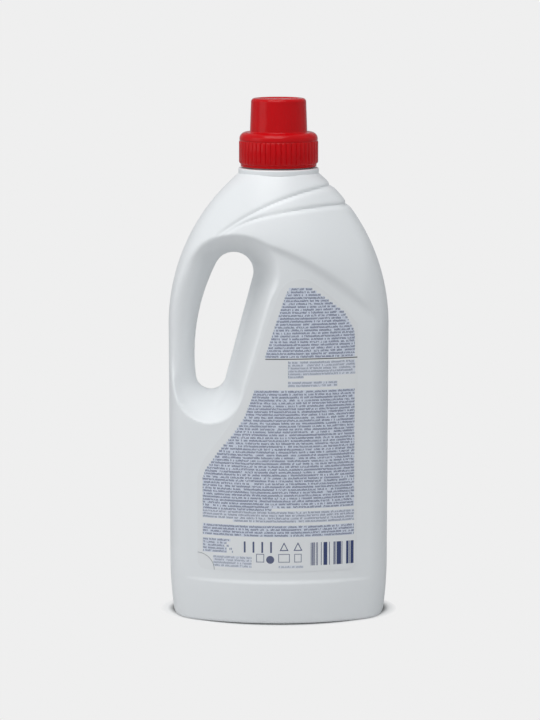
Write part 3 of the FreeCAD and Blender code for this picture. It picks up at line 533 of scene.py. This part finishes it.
class Value:
    """A node socket with arithmetic: each expression adds its Math node, and | takes the larger value."""

    def __init__(self, tree, socket):
        self.tree, self.socket = tree, socket

    def math(self, operation, *others, first=None):
        node = self.tree.nodes.new("ShaderNodeMath")
        node.operation = operation
        for slot, item in zip(node.inputs, [self if first is None else first, *others]):
            if isinstance(item, Value):
                self.tree.links.new(item.socket, slot)
            else:
                slot.default_value = item
        return Value(self.tree, node.outputs[0])

    def __add__(self, other):
        return self.math("ADD", other)

    def __sub__(self, other):
        return self.math("SUBTRACT", other)

    def __rsub__(self, other):
        return self.math("SUBTRACT", self, first=other)

    def __mul__(self, other):
        return self.math("MULTIPLY", other)

    def __truediv__(self, other):
        return self.math("DIVIDE", other)

    def __gt__(self, other):
        return self.math("GREATER_THAN", other)

    def __lt__(self, other):
        return self.math("LESS_THAN", other)

    def __or__(self, other):
        return self.math("MAXIMUM", other)


class Finish:
    """A material whose nodes are added by type, settings and inputs."""

    def __init__(self, name):
        self.material = bpy.data.materials.new(name)
        self.material.use_nodes = True
        self.tree = self.material.node_tree
        self.shader = self.tree.nodes["Principled BSDF"]

    def node(self, kind, settings=None, **inputs):
        """Adds a node, sets it up, feeds its sockets and returns it."""
        node = self.tree.nodes.new(kind)
        for key, value in (settings or {}).items():
            setattr(node, key, value)
        for key, value in inputs.items():
            self.feed(node, key.replace("_", " "), value)
        return node

    def feed(self, node, key, value):
        """Links a value to a socket, or sets the socket to a constant."""
        if isinstance(value, Value):
            self.tree.links.new(value.socket, node.inputs[key])
        else:
            node.inputs[key].default_value = value

    def value(self, node, output=0):
        return Value(self.tree, node.outputs[output])

    def place(self):
        """Object coordinates in millimetres as x, y and z."""
        where = self.node("ShaderNodeTexCoord")
        split = self.node("ShaderNodeSeparateXYZ", Vector=self.value(where, "Object"))
        return [self.value(split, k) * (1 / MM) for k in range(3)]

    def vector(self, x, y, z):
        return self.value(self.node("ShaderNodeCombineXYZ", X=x, Y=y, Z=z))

    def band(self, value, low, high):
        """One where the value lies between two limits."""
        return (value > low) * (value < high)

    def box(self, x, z, left, right, low, high):
        """One inside an upright rectangle."""
        return self.band(x, left, right) * self.band(z, low, high)

    def distance(self, x, z, middle_x, middle_z):
        """Distance from a point."""
        dx, dz = x - middle_x, z - middle_z
        return (dx * dx + dz * dz).math("SQRT")

    def random(self, a, b):
        """Random number of a pair of numbers."""
        node = self.node("ShaderNodeTexWhiteNoise", {"noise_dimensions": "2D"}, Vector=self.vector(a, b, 0.0))
        return self.value(node, "Value")

    def profile(self, value, points):
        """Line through (position, height) points, read at the value."""
        low, high = points[0][0], points[-1][0]
        heights = [h for _, h in points]
        base, span = min(heights), max(heights) - min(heights)
        ramp = self.node("ShaderNodeValToRGB", Fac=(value - low) / (high - low))
        stops = ramp.color_ramp.elements
        for k, (place, height) in enumerate(points):
            share = (place - low) / (high - low)
            stop = stops[k] if k < 2 else stops.new(share)
            stop.position = share
            stop.color = [(height - base) / span] * 3 + [1.0]
        return self.value(ramp, "Color") * span + base

    def noise(self, vector, scale, detail=2.0):
        return self.value(self.node("ShaderNodeTexNoise", Vector=vector, Scale=scale, Detail=detail))

    def mix(self, factor, a, b):
        """Colour between a and b."""
        node = self.node("ShaderNodeMix", {"data_type": "RGBA"}, Factor=factor)
        self.feed(node, 6, a)
        self.feed(node, 7, b)
        return self.value(node, 2)

    def bump(self, height, distance, strength=1.0):
        node = self.node("ShaderNodeBump", Strength=strength, Distance=distance, Height=height)
        self.feed(self.shader, "Normal", self.value(node))

    def set(self, **inputs):
        for key, value in inputs.items():
            self.feed(self.shader, key.replace("_", " "), value)


def rgba(colour, level=1.0):
    return (*(c * level for c in colour), 1.0)


def milky_plastic(name, colour, roughness):
    """Blown polyethylene: waxy, with a fine orange peel and flow streaks."""
    f = Finish(name)
    x, y, z = f.place()
    place = f.vector(x, y, z)
    streaks = f.noise(f.vector(x, y, z * 0.12), scale=0.05, detail=3.0)
    patches = f.noise(place, scale=0.03)
    peel = f.noise(place, scale=0.55)
    grain = f.noise(place, scale=3.0, detail=1.0)
    tone = streaks * 0.5 + patches * 0.5
    f.set(Base_Color=f.mix(tone, rgba(colour, 0.985), rgba(colour, 1.015)),
          Roughness=(patches - 0.5) * 0.10 + roughness + (grain - 0.5) * 0.06,
          IOR=1.5, Coat_Weight=0.0)
    f.bump(peel * 0.8 + grain * 0.25, distance=0.00006, strength=0.5)
    return f.material


def coloured_plastic(name, colour, roughness, shine):
    """Injection moulded polypropylene with a fine satin grain."""
    f = Finish(name)
    x, y, z = f.place()
    place = f.vector(x, y, z)
    grain = f.noise(place, scale=4.0)
    patches = f.noise(place, scale=0.12)
    f.set(Base_Color=f.mix(patches, rgba(colour, 0.94), rgba(colour, 1.06)),
          Roughness=(patches - 0.5) * 0.10 + roughness + (grain - 0.5) * 0.08, Specular_IOR_Level=shine)
    f.bump(grain, distance=0.00004, strength=0.5)
    return f.material


# The shell. Rings climb from the middle of the base to the collar

BASE_SHARES = (0.02, 0.3, 0.6, 0.85)     # rings across the pushed up middle
BASE_PROFILE = (              # inset and height of the rings from there to the standing rim
    (PUSH_UP_RIM + PUSH_UP_SLOPE, PUSH_UP_DEPTH), (PUSH_UP_RIM + 5.5, 3.2), (PUSH_UP_RIM + 3.4, 2.0),
    (PUSH_UP_RIM + 1.2, 0.6), (PUSH_UP_RIM, 0.05), (PUSH_UP_RIM - 1.5, 0.0), (BASE_ROUND + 1.5, 0.0))
BASE_ROUND_RINGS = 5
SHELL_SPANS = (               # low end, high end and distance of rings, close together where it has detail
    (BASE_ROUND, 20.0, 1.6), (20.0, 31.0, 0.7), (31.0, 104.0, 2.6), (104.0, SHOULDER_TOP, 0.9))


def shell_heights():
    heights = []
    for low, high, step in SHELL_SPANS:
        count = round((high - low) / step)
        heights += [low + (high - low) * k / count for k in range(count)]
    return heights + [SHOULDER_TOP]


def base_rings(sizes):
    """Rings of the base, from its middle over the standing rim to the start of the sides."""
    middle = plan_ring(sizes, 0.0, PUSH_UP_RIM + PUSH_UP_SLOPE)
    rings = [flat_ring(middle, PUSH_UP_DEPTH, share) for share in BASE_SHARES]
    rings += [flat_ring(plan_ring(sizes, 0.0, inset), z) for inset, z in BASE_PROFILE]
    for k in range(BASE_ROUND_RINGS):
        a = math.pi / 2 * (k + 1) / (BASE_ROUND_RINGS + 1)
        inset, z = BASE_ROUND * (1 - math.sin(a)), BASE_ROUND * (1 - math.cos(a))
        rings.append(flat_ring(plan_ring(sizes, z, inset), z))
    return rings


def side_ring(sizes, pocket, z):
    """Ring of the sides with the grooves, the panel, the crest and the pocket carved in."""
    ring = plan_ring(sizes, z, 0.0)
    level = np.full(len(ring), z)
    sink = np.zeros(len(ring))
    if z > SHOULDER_START:
        for line in (GROOVE_HIGH, GROOVE_LOW):
            sink = sink + groove_shift(ring[:, 0], level, line, mm(sizes.groove_depth))
    x = ring[:, 0] - ring[:, 2] * sink
    y = ring[:, 1] - ring[:, 3] * sink
    roof = smooth(*ROOF_HEIGHTS, level) * (1 - smooth(*ROOF_ACROSS, x))
    grip = (1 - smooth(*GRIP_ACROSS, x)) * smooth(*GRIP_HEIGHTS, level)
    edge_round = POCKET_ROUND + np.maximum(ROOF_ROUND * roof, GRIP_ROUND * grip)
    depth = front_depth(sizes, x, level, np.abs(y))
    depth = soft_min(depth, sampled(pocket, x, level), edge_round)
    return np.column_stack((x, np.sign(y) * np.maximum(depth, 0.0), level))


class BOTTLE_OT_shell(bpy.types.Operator):
    """Carves the blown shell with its handle, panel, grooves and foot"""
    bl_idname = "bottle.shell"
    bl_label = "Blown shell"

    def execute(self, context):
        sizes = context.scene.bottle_shell
        pocket = pocket_field()
        rings = base_rings(sizes) + [side_ring(sizes, pocket, z) for z in shell_heights()]
        shell = made_mesh("bottle_shell", np.vstack(rings), ring_faces(len(rings), len(rings[0])))
        cutter = self.opening_cutter()
        applied(shell, "BOOLEAN", operation="DIFFERENCE", solver="EXACT", object=cutter)
        bpy.data.objects.remove(cutter)
        shade(shell, degrees=42)
        plastic = milky_plastic("blown_plastic", sizes.colour, sizes.roughness)
        placed(shell, "bottle", "bottle", plastic, *ZONES)
        return {"FINISHED"}

    def opening_cutter(self):
        """Block through the body with the outline of the handle's opening."""
        edge = eye_outline(CUTTER_STEP)
        points = [(p[0], y, p[1]) for y in (-CUTTER_REACH, CUTTER_REACH) for p in edge]
        block = made_mesh("opening_cutter", points, ring_faces(2, len(edge)))
        face_outwards(block)
        return block


# The neck and its thread, in mm

COLLAR_RADIUS, COLLAR_TOP = 22.9, 258.4
COLLAR_LOW = 253.0            # its lower end, hidden in the shoulder
COLLAR_UNDERCUT = ((1.6, COLLAR_LOW), (0.6, 254.9), (0.0, 255.4))      # distance in from its side, height
NECK_RADIUS, NECK_TOP, NECK_BORE = 18.3, 273.4, 16.2
NECK_ROUNDS = (0.3, 0.4, 0.2, 0.9, 0.5, 0.4, 0.3)
LEAD = 5.0                    # rise of the thread in one turn
THREAD_HEIGHT, THREAD_SUNK = 1.3, 0.3    # of its ridge, out of the wall and into it
THREAD_FOOT, THREAD_TIP = 1.15, 0.5      # half widths of the ridge
THREAD_STEPS, THREAD_TAPER = 72, 8       # steps in one turn, and steps over which an end fades
THREAD_START, THREAD_TURNS = 261.5, 1.6


def thread_ridge(name, radius, outward, start, turns):
    """Screw thread with tapered ends, as a strip swept round the axis."""
    steps = int(turns * THREAD_STEPS)
    foot = radius - outward * THREAD_SUNK
    points = []
    for k in range(steps + 1):
        a = 2 * math.pi * turns * k / steps
        z = start + LEAD * turns * k / steps
        grow = min(1.0, k / THREAD_TAPER, (steps - k) / THREAD_TAPER)
        tip = radius + outward * (THREAD_HEIGHT * grow)
        for r, dz in ((foot, -THREAD_FOOT), (tip, -THREAD_TIP), (tip, THREAD_TIP), (foot, THREAD_FOOT)):
            points.append((r * math.cos(a), r * math.sin(a), z + dz))
    ridge = made_mesh(name, points, ring_faces(steps + 1, 4))
    face_outwards(ridge)
    return ridge


class BOTTLE_OT_neck(bpy.types.Operator):
    """Turns the collar and the neck and winds its thread"""
    bl_idname = "bottle.neck"
    bl_label = "Neck"

    def execute(self, context):
        outline = [(NECK_BORE, COLLAR_LOW)]
        outline += [(COLLAR_RADIUS - inward, z) for inward, z in COLLAR_UNDERCUT]
        outline += [(COLLAR_RADIUS, COLLAR_TOP), (NECK_RADIUS, COLLAR_TOP), (NECK_RADIUS, NECK_TOP),
                    (NECK_BORE, NECK_TOP), (NECK_BORE, COLLAR_LOW)]
        neck = spun_profile("bottle_neck", rounded(outline, NECK_ROUNDS))
        ridge = thread_ridge("neck_thread", NECK_RADIUS, 1, THREAD_START, THREAD_TURNS)
        plastic = bpy.data.materials["blown_plastic"]
        for piece in (neck, ridge):
            shade(piece, degrees=35)
            placed(piece, "bottle", "bottle", plastic)
        return {"FINISHED"}


# The dosing cap, in mm

CAP_TOP = CAP_BOX[1][2] / MM
CAP_BORE, CAP_LOW = 19.9, 259.2
LIP_RADIUS, LIP_TOP = 21.6, 260.7
SKIRT_RADIUS = 22.1           # between the ribs
RIB_LOW, RIB_HIGH = 260.9, 273.8
BAND_RADIUS = SKIRT_RADIUS + 0.2         # plain band over the ribs
BAND_LOW, BAND_TOP = RIB_HIGH + 0.5, 278.6
CUP_FOOT_RADIUS, CUP_TOP_RADIUS = 16.3, 15.6
CUP_RIM, CUP_DISH, CUP_DISH_DEPTH = 12.2, 11.2, 0.5      # radii and depth of the dish in the cup's top
CUP_PIP_RIM, CUP_PIP, CUP_PIP_DEPTH = 1.9, 1.5, 0.9      # the same of the mark in its middle
CAP_ROUNDS = (0.3, 0.2, 0.2, 0.2, 0.4, 3.9, 0.7, 2.1, 0.5, 0.5, 0.2, 0.2)
CAP_INSIDE = ((0.0, 295.4), (14.3, 295.4), (15.0, 275.55), (CAP_BORE, 275.55), (CAP_BORE, CAP_LOW))
CAP_THREAD_START, CAP_THREAD_TURNS = 263.75, 1.4
CAP_SHINE = 0.22              # specular level
RIB_ACROSS = ((-0.47, 0.0), (-0.38, 0.75), (-0.22, 1.0), (0.22, 1.0), (0.38, 0.75), (0.47, 0.0))
RIB_ALONG = ((0.0, 0.0), (0.25, 0.5), (0.8, 1.0))        # distance from a rib's end, and share of its depth
RIB_SUNK = 0.15               # how far a rib's edges reach into the skirt


class BOTTLE_OT_cap(bpy.types.Operator):
    """Turns the dosing cap and raises its ribs"""
    bl_idname = "bottle.cap"
    bl_label = "Dosing cap"

    def execute(self, context):
        sizes = context.scene.bottle_cap
        dish, pip = CAP_TOP - CUP_DISH_DEPTH, CAP_TOP - CUP_PIP_DEPTH
        outline = [
            (CAP_BORE, CAP_LOW), (LIP_RADIUS, CAP_LOW), (LIP_RADIUS, LIP_TOP), (SKIRT_RADIUS, RIB_LOW),
            (SKIRT_RADIUS, RIB_HIGH), (BAND_RADIUS, BAND_LOW), (BAND_RADIUS, BAND_TOP),
            (CUP_FOOT_RADIUS, BAND_TOP), (CUP_TOP_RADIUS, CAP_TOP), (CUP_RIM, CAP_TOP), (CUP_DISH, dish),
            (CUP_PIP_RIM, dish), (CUP_PIP, pip), (0.0, pip)]
        cap = spun_profile("cap_body", rounded(outline, CAP_ROUNDS, 7)[::-1], 144)
        lining = spun_profile("cap_lining", CAP_INSIDE, 96)
        start_editing(lining)
        bpy.ops.mesh.flip_normals()
        stop_editing(lining)
        ribs = self.ribs(sizes.ribs, mm(sizes.rib_depth))
        ridge = thread_ridge("cap_thread", CAP_BORE, -1, CAP_THREAD_START, CAP_THREAD_TURNS)
        activate(cap)
        for part in (lining, ribs, ridge):
            part.select_set(True)
        bpy.ops.object.join()
        cap.name = "dosing_cap_look"
        shade(cap, degrees=38)
        plastic = coloured_plastic("cap_plastic", sizes.colour, sizes.roughness, CAP_SHINE)
        placed(cap, "cap", "cap", plastic, "dosing_cap")
        return {"FINISHED"}

    def ribs(self, count, depth):
        """One rounded rib, copied round the skirt."""
        step = 2 * math.pi / count
        foot, tip = SKIRT_RADIUS - RIB_SUNK, SKIRT_RADIUS + depth
        stations = [(RIB_LOW + d, h) for d, h in RIB_ALONG]
        stations += [(RIB_HIGH - d, h) for d, h in reversed(RIB_ALONG)]
        points, faces = [], []
        for z, height in stations:
            for share, h in RIB_ACROSS:
                r = foot + (tip - foot) * h * height
                points.append((r * math.cos(share * step), r * math.sin(share * step), z))
        wide = len(RIB_ACROSS)
        for i in range(len(stations) - 1):
            for a in range(i * wide, (i + 1) * wide - 1):
                faces.append((a, a + 1, a + 1 + wide, a + wide))
        all_points, all_faces = [], []
        for n in range(count):
            c, s = math.cos(n * step), math.sin(n * step)
            base = len(all_points)
            all_points += [(x * c - y * s, x * s + y * c, z) for x, y, z in points]
            all_faces += [tuple(base + v for v in face) for face in faces]
        return made_mesh("cap_ribs", all_points, all_faces)


# The inserts are shown as the solids are, each with its colour and roughness

INSERTS = (("pour_spout", (0.78, 0.80, 0.80), 0.30), ("seal_ring", (0.86, 0.86, 0.84), 0.60))


def finished(name, material):
    """Gives a solid that is shown as it is its material."""
    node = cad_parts[name]
    node.data.materials.clear()
    node.data.materials.append(material)


class BOTTLE_OT_inserts(bpy.types.Operator):
    """Gives the pouring spout and the seal their plastics"""
    bl_idname = "bottle.inserts"
    bl_label = "Spout and seal"

    def execute(self, context):
        for name, colour, roughness in INSERTS:
            finished(name, milky_plastic(name + "_plastic", colour, roughness))
        return {"FINISHED"}


# The print, in mm. A box is (left, right, low, high), and a share is how dark a block of it prints

LABEL_CORNER = (-46.3, 31.2)  # its lower left corner, where the plies part
PEEL_LINE = (9.3, 9.75)       # inner and outer radius of the mark round that corner
RULE = (-7.4, 44.4, 153.55, 154.15)
RULE_COLOUR, PEEL_COLOUR = (0.05, 0.055, 0.06), (0.20, 0.21, 0.23)
RULE_SHARE, PEEL_SHARE, HAZE_SHARE = 0.9, 0.6, 0.85

# One cell of a row, in shares of its width and of the row pitch

CELL_WIDTH = 0.76
LEFT_STROKE, RIGHT_STROKE, WHOLE_CELL = (0.08, 0.34), (0.56, 0.82), (0.08, 0.82)
STROKE_RISE, TALL_RISE, LOW_BAR, HIGH_BAR = (0.18, 0.76), (0.18, 0.94), (0.18, 0.32), (0.62, 0.76)
LEFT_GAPS, RIGHT_GAPS, WORD_GAPS = 0.12, 0.18, 0.11      # shares of the cells that go without
LOW_BAR_FROM, HIGH_BAR_TO, TALL_TO = 0.45, 0.55, 0.22    # limits of the third random number
SEED_STEP = 40.0              # between the random numbers of one cell

# Left and right edge of the text at each height, and its blocks

TEXT_LEFT = (
    (84.0, -43.2), (88.9, -41.8), (101.0, -33.4), (109.2, -26.7), (119.6, -19.6), (131.5, -15.0),
    (155.4, -7.4), (173.1, -1.8), (190.9, 4.3), (194.6, 6.4))
TEXT_RIGHT = ((165.0, 43.0), (169.3, 42.6), (179.9, 37.0), (188.7, 25.6), (194.6, 17.0))
UPPER_ROWS, MAIN_ROWS, LOWER_ROWS, LAST_ROWS = (155.0, 194.4), (66.6, 136.8), (59.4, 65.6), (51.0, 57.8)
MAIN_END, MAIN_END_RIGHT = (66.6, 68.2), -4.0            # the short last row of the main block
LOWER_END, LOWER_END_LEFT = 61.0, -26.0                  # and the one of the block under it
SIDE_BOXES = ((5.3, 43.2, 144.0, 152.8), (5.3, 14.0, 142.0, 144.0), (5.3, 33.0, 137.6, 141.4))
RAGGED_BOX, RAGGED_RIGHT, RAGGED_REACH = (-43.2, -26.0, 40.8, 49.6), -31.0, 6.0
FOOT_BOX, SMALL_BOX = (-37.4, -15.4, 33.4, 40.2), (0.0, 14.0, 33.6, 35.4)
LOWER_SHARE, SIDE_SHARE, RAGGED_SHARE, FOOT_SHARE, SMALL_SHARE = 0.8, 0.75, 0.9, 0.7, 0.6

# Bars and plain symbols at the foot

CODE_BOX, CODE_BAR, CODE_SEED, CODE_GAPS = (18.2, 43.2, 34.6, 48.0), 0.36, 3.5, 0.52
FIGURE_BOX, FIGURE_PITCH, FIGURE_STROKE, FIGURE_SHARE = (-19.8, -2.6, 42.2, 48.6), 5.0, 0.2, 0.95
TRIANGLES = (3.1, 11.0)       # their middles
TRIANGLE_LOW, TRIANGLE_TOP, TRIANGLE_HALF = 43.4, 48.4, 2.4
TRIANGLE_LINE, TRIANGLE_FOOT, TRIANGLE_SLOPE = 0.55, 0.5, 0.5
FRAMES = ((-12.8, -8.2), (-0.2, 6.4), (8.9, 13.1))       # their left and right edges
FRAME_LOW, FRAME_TOP, FRAME_LINE, FRAME_SHARE = 36.6, 41.6, 0.45, 0.75
DISC, DISC_RADIUS, DISC_SHARE = (-4.8, 38.2), 2.3, 0.9


class BOTTLE_OT_label(bpy.types.Operator):
    """Prints rows of plain marks on the label's film"""
    bl_idname = "bottle.label"
    bl_label = "Label"

    def execute(self, context):
        sizes = context.scene.bottle_label
        finished("label_cover", self.printed_film(sizes))
        finished("label_base", self.bare_film(sizes))
        return {"FINISHED"}

    def bare_film(self, sizes):
        f = Finish("bare_film")
        tone = f.noise(f.vector(*f.place()), scale=0.2)
        f.set(Base_Color=f.mix(tone, rgba(sizes.film, 0.98), rgba(sizes.film, 1.02)),
              Roughness=tone * 0.1 + 0.3)
        return f.material

    def printed_film(self, sizes):
        f = Finish("printed_film")
        x, y, z = f.place()
        strokes, area = self.rows(f, x, z, mm(sizes.row_pitch))
        ink = strokes | self.foot_marks(f, x, z)
        line = f.band(f.distance(x, z, *LABEL_CORNER), *PEEL_LINE)
        film = f.mix(f.noise(f.vector(x, y, z), scale=0.2), rgba(sizes.film, 0.99), rgba(sizes.film, 1.01))
        film = f.mix(area * HAZE_SHARE, film, rgba(sizes.wash))
        colour = f.mix(ink, film, rgba(sizes.ink))
        colour = f.mix(f.box(x, z, *RULE) * RULE_SHARE, colour, rgba(RULE_COLOUR))
        f.set(Base_Color=f.mix(line * PEEL_SHARE, colour, rgba(PEEL_COLOUR)), Roughness=0.34)
        return f.material

    def rows(self, f, x, z, pitch):
        """Rows of small strokes like fine print, and the area of the blocks that hold them."""
        row, up = (z / pitch).math("FLOOR"), (z / pitch).math("FRACT")
        cell, across = (x / CELL_WIDTH).math("FLOOR"), (x / CELL_WIDTH).math("FRACT")
        first, second, third, word = [f.random(cell + 0.5, row + 0.5 + SEED_STEP * k) for k in range(4)]
        left, right = f.band(across, *LEFT_STROKE), f.band(across, *RIGHT_STROKE)
        strokes = (left * (first > LEFT_GAPS)) | (right * (second > RIGHT_GAPS))
        bars = ((f.band(up, *LOW_BAR) * (third > LOW_BAR_FROM))
                | (f.band(up, *HIGH_BAR) * (third < HIGH_BAR_TO)))
        tall = f.band(up, *TALL_RISE) * left * (third < TALL_TO)
        glyph = (strokes * f.band(up, *STROKE_RISE)) | (bars * f.band(across, *WHOLE_CELL)) | tall
        area = self.blocks(f, x, (row + 0.5) * pitch, first)
        return glyph * (word > WORD_GAPS) * area, area

    def blocks(self, f, x, middle, ragged):
        """Area of the blocks of text. A row is in or out as a whole, by the height of its middle."""
        main = f.band(middle, *MAIN_ROWS) * (1.0 - f.band(middle, *MAIN_END) * (x > MAIN_END_RIGHT))
        lower = f.band(middle, *LOWER_ROWS) * (1.0 - (middle < LOWER_END) * (x < LOWER_END_LEFT))
        rows = f.band(middle, *UPPER_ROWS) + main + lower * LOWER_SHARE + f.band(middle, *LAST_ROWS)
        wide = (x > f.profile(middle, TEXT_LEFT)) * (x < f.profile(middle, TEXT_RIGHT))
        sides = [f.box(x, middle, *box) for box in SIDE_BOXES]
        side = sides[0] | sides[1] | sides[2]
        uneven = f.box(x, middle, *RAGGED_BOX) * (x < ragged * RAGGED_REACH + RAGGED_RIGHT)
        area = (wide * rows + side * SIDE_SHARE + uneven * RAGGED_SHARE
                + f.box(x, middle, *FOOT_BOX) * FOOT_SHARE + f.box(x, middle, *SMALL_BOX) * SMALL_SHARE)
        return area.math("MINIMUM", 1.0)

    def foot_marks(self, f, x, z):
        """Bars, strokes and small plain symbols of the lowest rows."""
        bar = (x / CODE_BAR).math("FLOOR")
        marks = f.box(x, z, *CODE_BOX) * (f.random(bar + 0.5, CODE_SEED) > CODE_GAPS)
        stroke = ((x - FIGURE_BOX[0]) / FIGURE_PITCH).math("FRACT") < FIGURE_STROKE
        marks = marks | (f.box(x, z, *FIGURE_BOX) * stroke * FIGURE_SHARE)
        for middle in TRIANGLES:
            slant = (x - middle).math("ABSOLUTE") - (TRIANGLE_TOP - z) * TRIANGLE_SLOPE
            sides = f.band(slant, -TRIANGLE_LINE, 0.0) * f.band(z, TRIANGLE_LOW, TRIANGLE_TOP)
            foot = f.box(x, z, middle - TRIANGLE_HALF, middle + TRIANGLE_HALF,
                         TRIANGLE_LOW, TRIANGLE_LOW + TRIANGLE_FOOT)
            marks = marks | sides | foot
        for left, right in FRAMES:
            whole = f.box(x, z, left, right, FRAME_LOW, FRAME_TOP)
            core = f.box(x, z, left + FRAME_LINE, right - FRAME_LINE,
                         FRAME_LOW + FRAME_LINE, FRAME_TOP - FRAME_LINE)
            marks = marks | ((whole - core) * FRAME_SHARE)
        return marks | ((f.distance(x, z, *DISC) < DISC_RADIUS) * DISC_SHARE)


# The backdrop, in mm, and the lights and camera, in metres

SHEET_SIDE, SHEET_FRONT, SHEET_FOLD, SHEET_TOP = 4000.0, -3000.0, -600.0, 3000.0
BEND_START, BEND_RADIUS, BEND_STEPS = 1200.0, 900.0, 24
CONTACT = (61.0, 37.0)        # half width and half depth of the bottle's footprint
FAR_RAMP = (8.0, -0.1, 0.0, 1.0)         # slope, start, least and most, with the distance in footprints
# Painted shade: the floor colour the camera sees, darker close to the foot
CONTACT_SHADE_RAMP = (10.0, 0.2, 0.2, 0.9)
AIM = (0.0, 0.0, 0.14)
TOP_LIGHT_SIZE, TOP_LIGHT_PLACE = 1.3, (-0.25, -0.60, 1.70)
SIDE_LIGHT_SIZE, SIDE_LIGHT_PLACE = 1.1, (-1.55, -0.60, 0.85)
SKY_COLOUR = (0.93, 0.97, 1.0)
PHOTO_WIDTH, PHOTO_HEIGHT = 540.0, 720.0                 # in pixels, as are the next two
PHOTO_CENTRE = (278.6, 357.0)
FOCAL_LENGTH = 2387.0
SENSOR = 36.0                 # in mm
CAMERA_PLACE, CAMERA_PITCH = (0.0, -1.3585, 0.3738), 9.40


class BOTTLE_OT_stage(bpy.types.Operator):
    """Sets the pale floor, the soft lights and the camera"""
    bl_idname = "bottle.stage"
    bl_label = "Stage"

    def execute(self, context):
        settings = context.scene.bottle_stage
        context.scene.view_settings.view_transform = "Standard"
        self.backdrop(settings)
        self.lights(settings)
        self.camera()
        return {"FINISHED"}

    def backdrop(self, settings):
        """One pale sheet: a floor that rolls up into a wall."""
        profile = [(SHEET_FRONT, 0.0), (SHEET_FOLD, 0.0)]
        for k in range(BEND_STEPS + 1):
            a = math.pi / 2 * k / BEND_STEPS
            profile.append((BEND_START + BEND_RADIUS * math.sin(a), BEND_RADIUS * (1 - math.cos(a))))
        profile.append((BEND_START + BEND_RADIUS, SHEET_TOP))
        points = [(x, y, z) for x in (-SHEET_SIDE, SHEET_SIDE) for y, z in profile]
        count = len(profile)
        faces = [(k, count + k, count + k + 1, k + 1) for k in range(count - 1)]
        sheet = made_mesh("backdrop", points, faces)
        shade(sheet, degrees=80)
        sheet.data.materials.append(self.paper(settings))

    def paper(self, settings):
        """For the camera an even pale ground with a thin contact shadow, the real one deepened by painted
        shade: its colour darkens near the foot. For the bottle a grey floor.
        """
        f = Finish("backdrop_paper")
        x, y, _ = f.place()
        reach = f.distance(x / CONTACT[0], y / CONTACT[1], 0.0, 0.0) - 1.0
        # For the camera the floor colour falls from 0.9 to 0.2 towards the foot, as painted contact shade
        far, close = [(reach * slope + start).math("MAXIMUM", least).math("MINIMUM", most)
                      for slope, start, least, most in (FAR_RAMP, CONTACT_SHADE_RAMP)]
        seen = f.value(f.node("ShaderNodeLightPath"), "Is Camera Ray")
        shown = f.mix(seen, rgba([settings.floor] * 3), close)
        f.set(Base_Color=shown, Roughness=0.95, Specular_IOR_Level=0.0)
        glow = f.node("ShaderNodeEmission", Color=rgba([settings.backdrop] * 3))
        both = f.node("ShaderNodeMixShader", Fac=far * seen)
        f.feed(both, 1, f.value(f.shader))
        f.feed(both, 2, f.value(glow))
        f.feed(f.tree.nodes["Material Output"], "Surface", f.value(both))
        return f.material

    def lights(self, settings):
        for name, power, size, place in (
                ("top", settings.top_light, TOP_LIGHT_SIZE, TOP_LIGHT_PLACE),
                ("side", settings.side_light, SIDE_LIGHT_SIZE, SIDE_LIGHT_PLACE)):
            light = bpy.data.lights.new(name, "AREA")
            light.energy = power
            light.size = size
            obj = bpy.data.objects.new(name, light)
            bpy.context.scene.collection.objects.link(obj)
            obj.location = place
            toward = [a - b for a, b in zip(AIM, place)]
            obj.rotation_euler = Vector(toward).to_track_quat("-Z", "Y").to_euler()
        world = bpy.data.worlds.new("studio")
        bpy.context.scene.world = world
        world.use_nodes = True
        sky = world.node_tree.nodes["Background"]
        sky.inputs["Color"].default_value = rgba(SKY_COLOUR)
        sky.inputs["Strength"].default_value = settings.surroundings

    def camera(self):
        """Long lens in front of the label, a little above the cap."""
        camera = bpy.data.cameras.new("camera")
        camera.sensor_fit = "VERTICAL"
        camera.sensor_height = SENSOR
        camera.lens = FOCAL_LENGTH * SENSOR / PHOTO_HEIGHT
        camera.shift_x = (PHOTO_WIDTH / 2 - PHOTO_CENTRE[0]) / PHOTO_HEIGHT
        camera.shift_y = (PHOTO_CENTRE[1] - PHOTO_HEIGHT / 2) / PHOTO_HEIGHT
        obj = bpy.data.objects.new("camera", camera)
        bpy.context.scene.collection.objects.link(obj)
        obj.location = CAMERA_PLACE
        obj.rotation_euler = (math.pi / 2 - math.radians(CAMERA_PITCH), 0.0, 0.0)
        bpy.context.scene.camera = obj


GROUPS = {
    "bottle_shell": ShellSizes,
    "bottle_cap": CapSizes,
    "bottle_label": LabelSizes,
    "bottle_stage": StageSettings,
}
OPERATORS = (
    BOTTLE_OT_shell, BOTTLE_OT_neck, BOTTLE_OT_cap, BOTTLE_OT_inserts, BOTTLE_OT_label, BOTTLE_OT_stage)


class BOTTLE_PT_panel(bpy.types.Panel):
    """Lists the sizes, the colours and the steps of the bottle"""
    bl_idname = "BOTTLE_PT_panel"
    bl_label = "Detergent bottle"
    bl_space_type = "VIEW_3D"
    bl_region_type = "UI"
    bl_category = "Bottle"

    def draw(self, context):
        for name, group in GROUPS.items():
            for size in group.__annotations__:
                self.layout.prop(getattr(context.scene, name), size)
        for operator in OPERATORS:
            self.layout.operator(operator.bl_idname)


def register():
    for name, group in GROUPS.items():
        bpy.utils.register_class(group)
        setattr(bpy.types.Scene, name, bpy.props.PointerProperty(type=group))
    for cls in (*OPERATORS, BOTTLE_PT_panel):
        bpy.utils.register_class(cls)


def unregister():
    for cls in (BOTTLE_PT_panel, *reversed(OPERATORS)):
        bpy.utils.unregister_class(cls)
    for name, group in GROUPS.items():
        delattr(bpy.types.Scene, name)
        bpy.utils.unregister_class(group)


def main():
    register()
    bpy.ops.bottle.shell()
    bpy.ops.bottle.neck()
    bpy.ops.bottle.cap()
    bpy.ops.bottle.inserts()
    bpy.ops.bottle.label()
    bpy.ops.bottle.stage()
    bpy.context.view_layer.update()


if __name__ == "__main__":
    main()
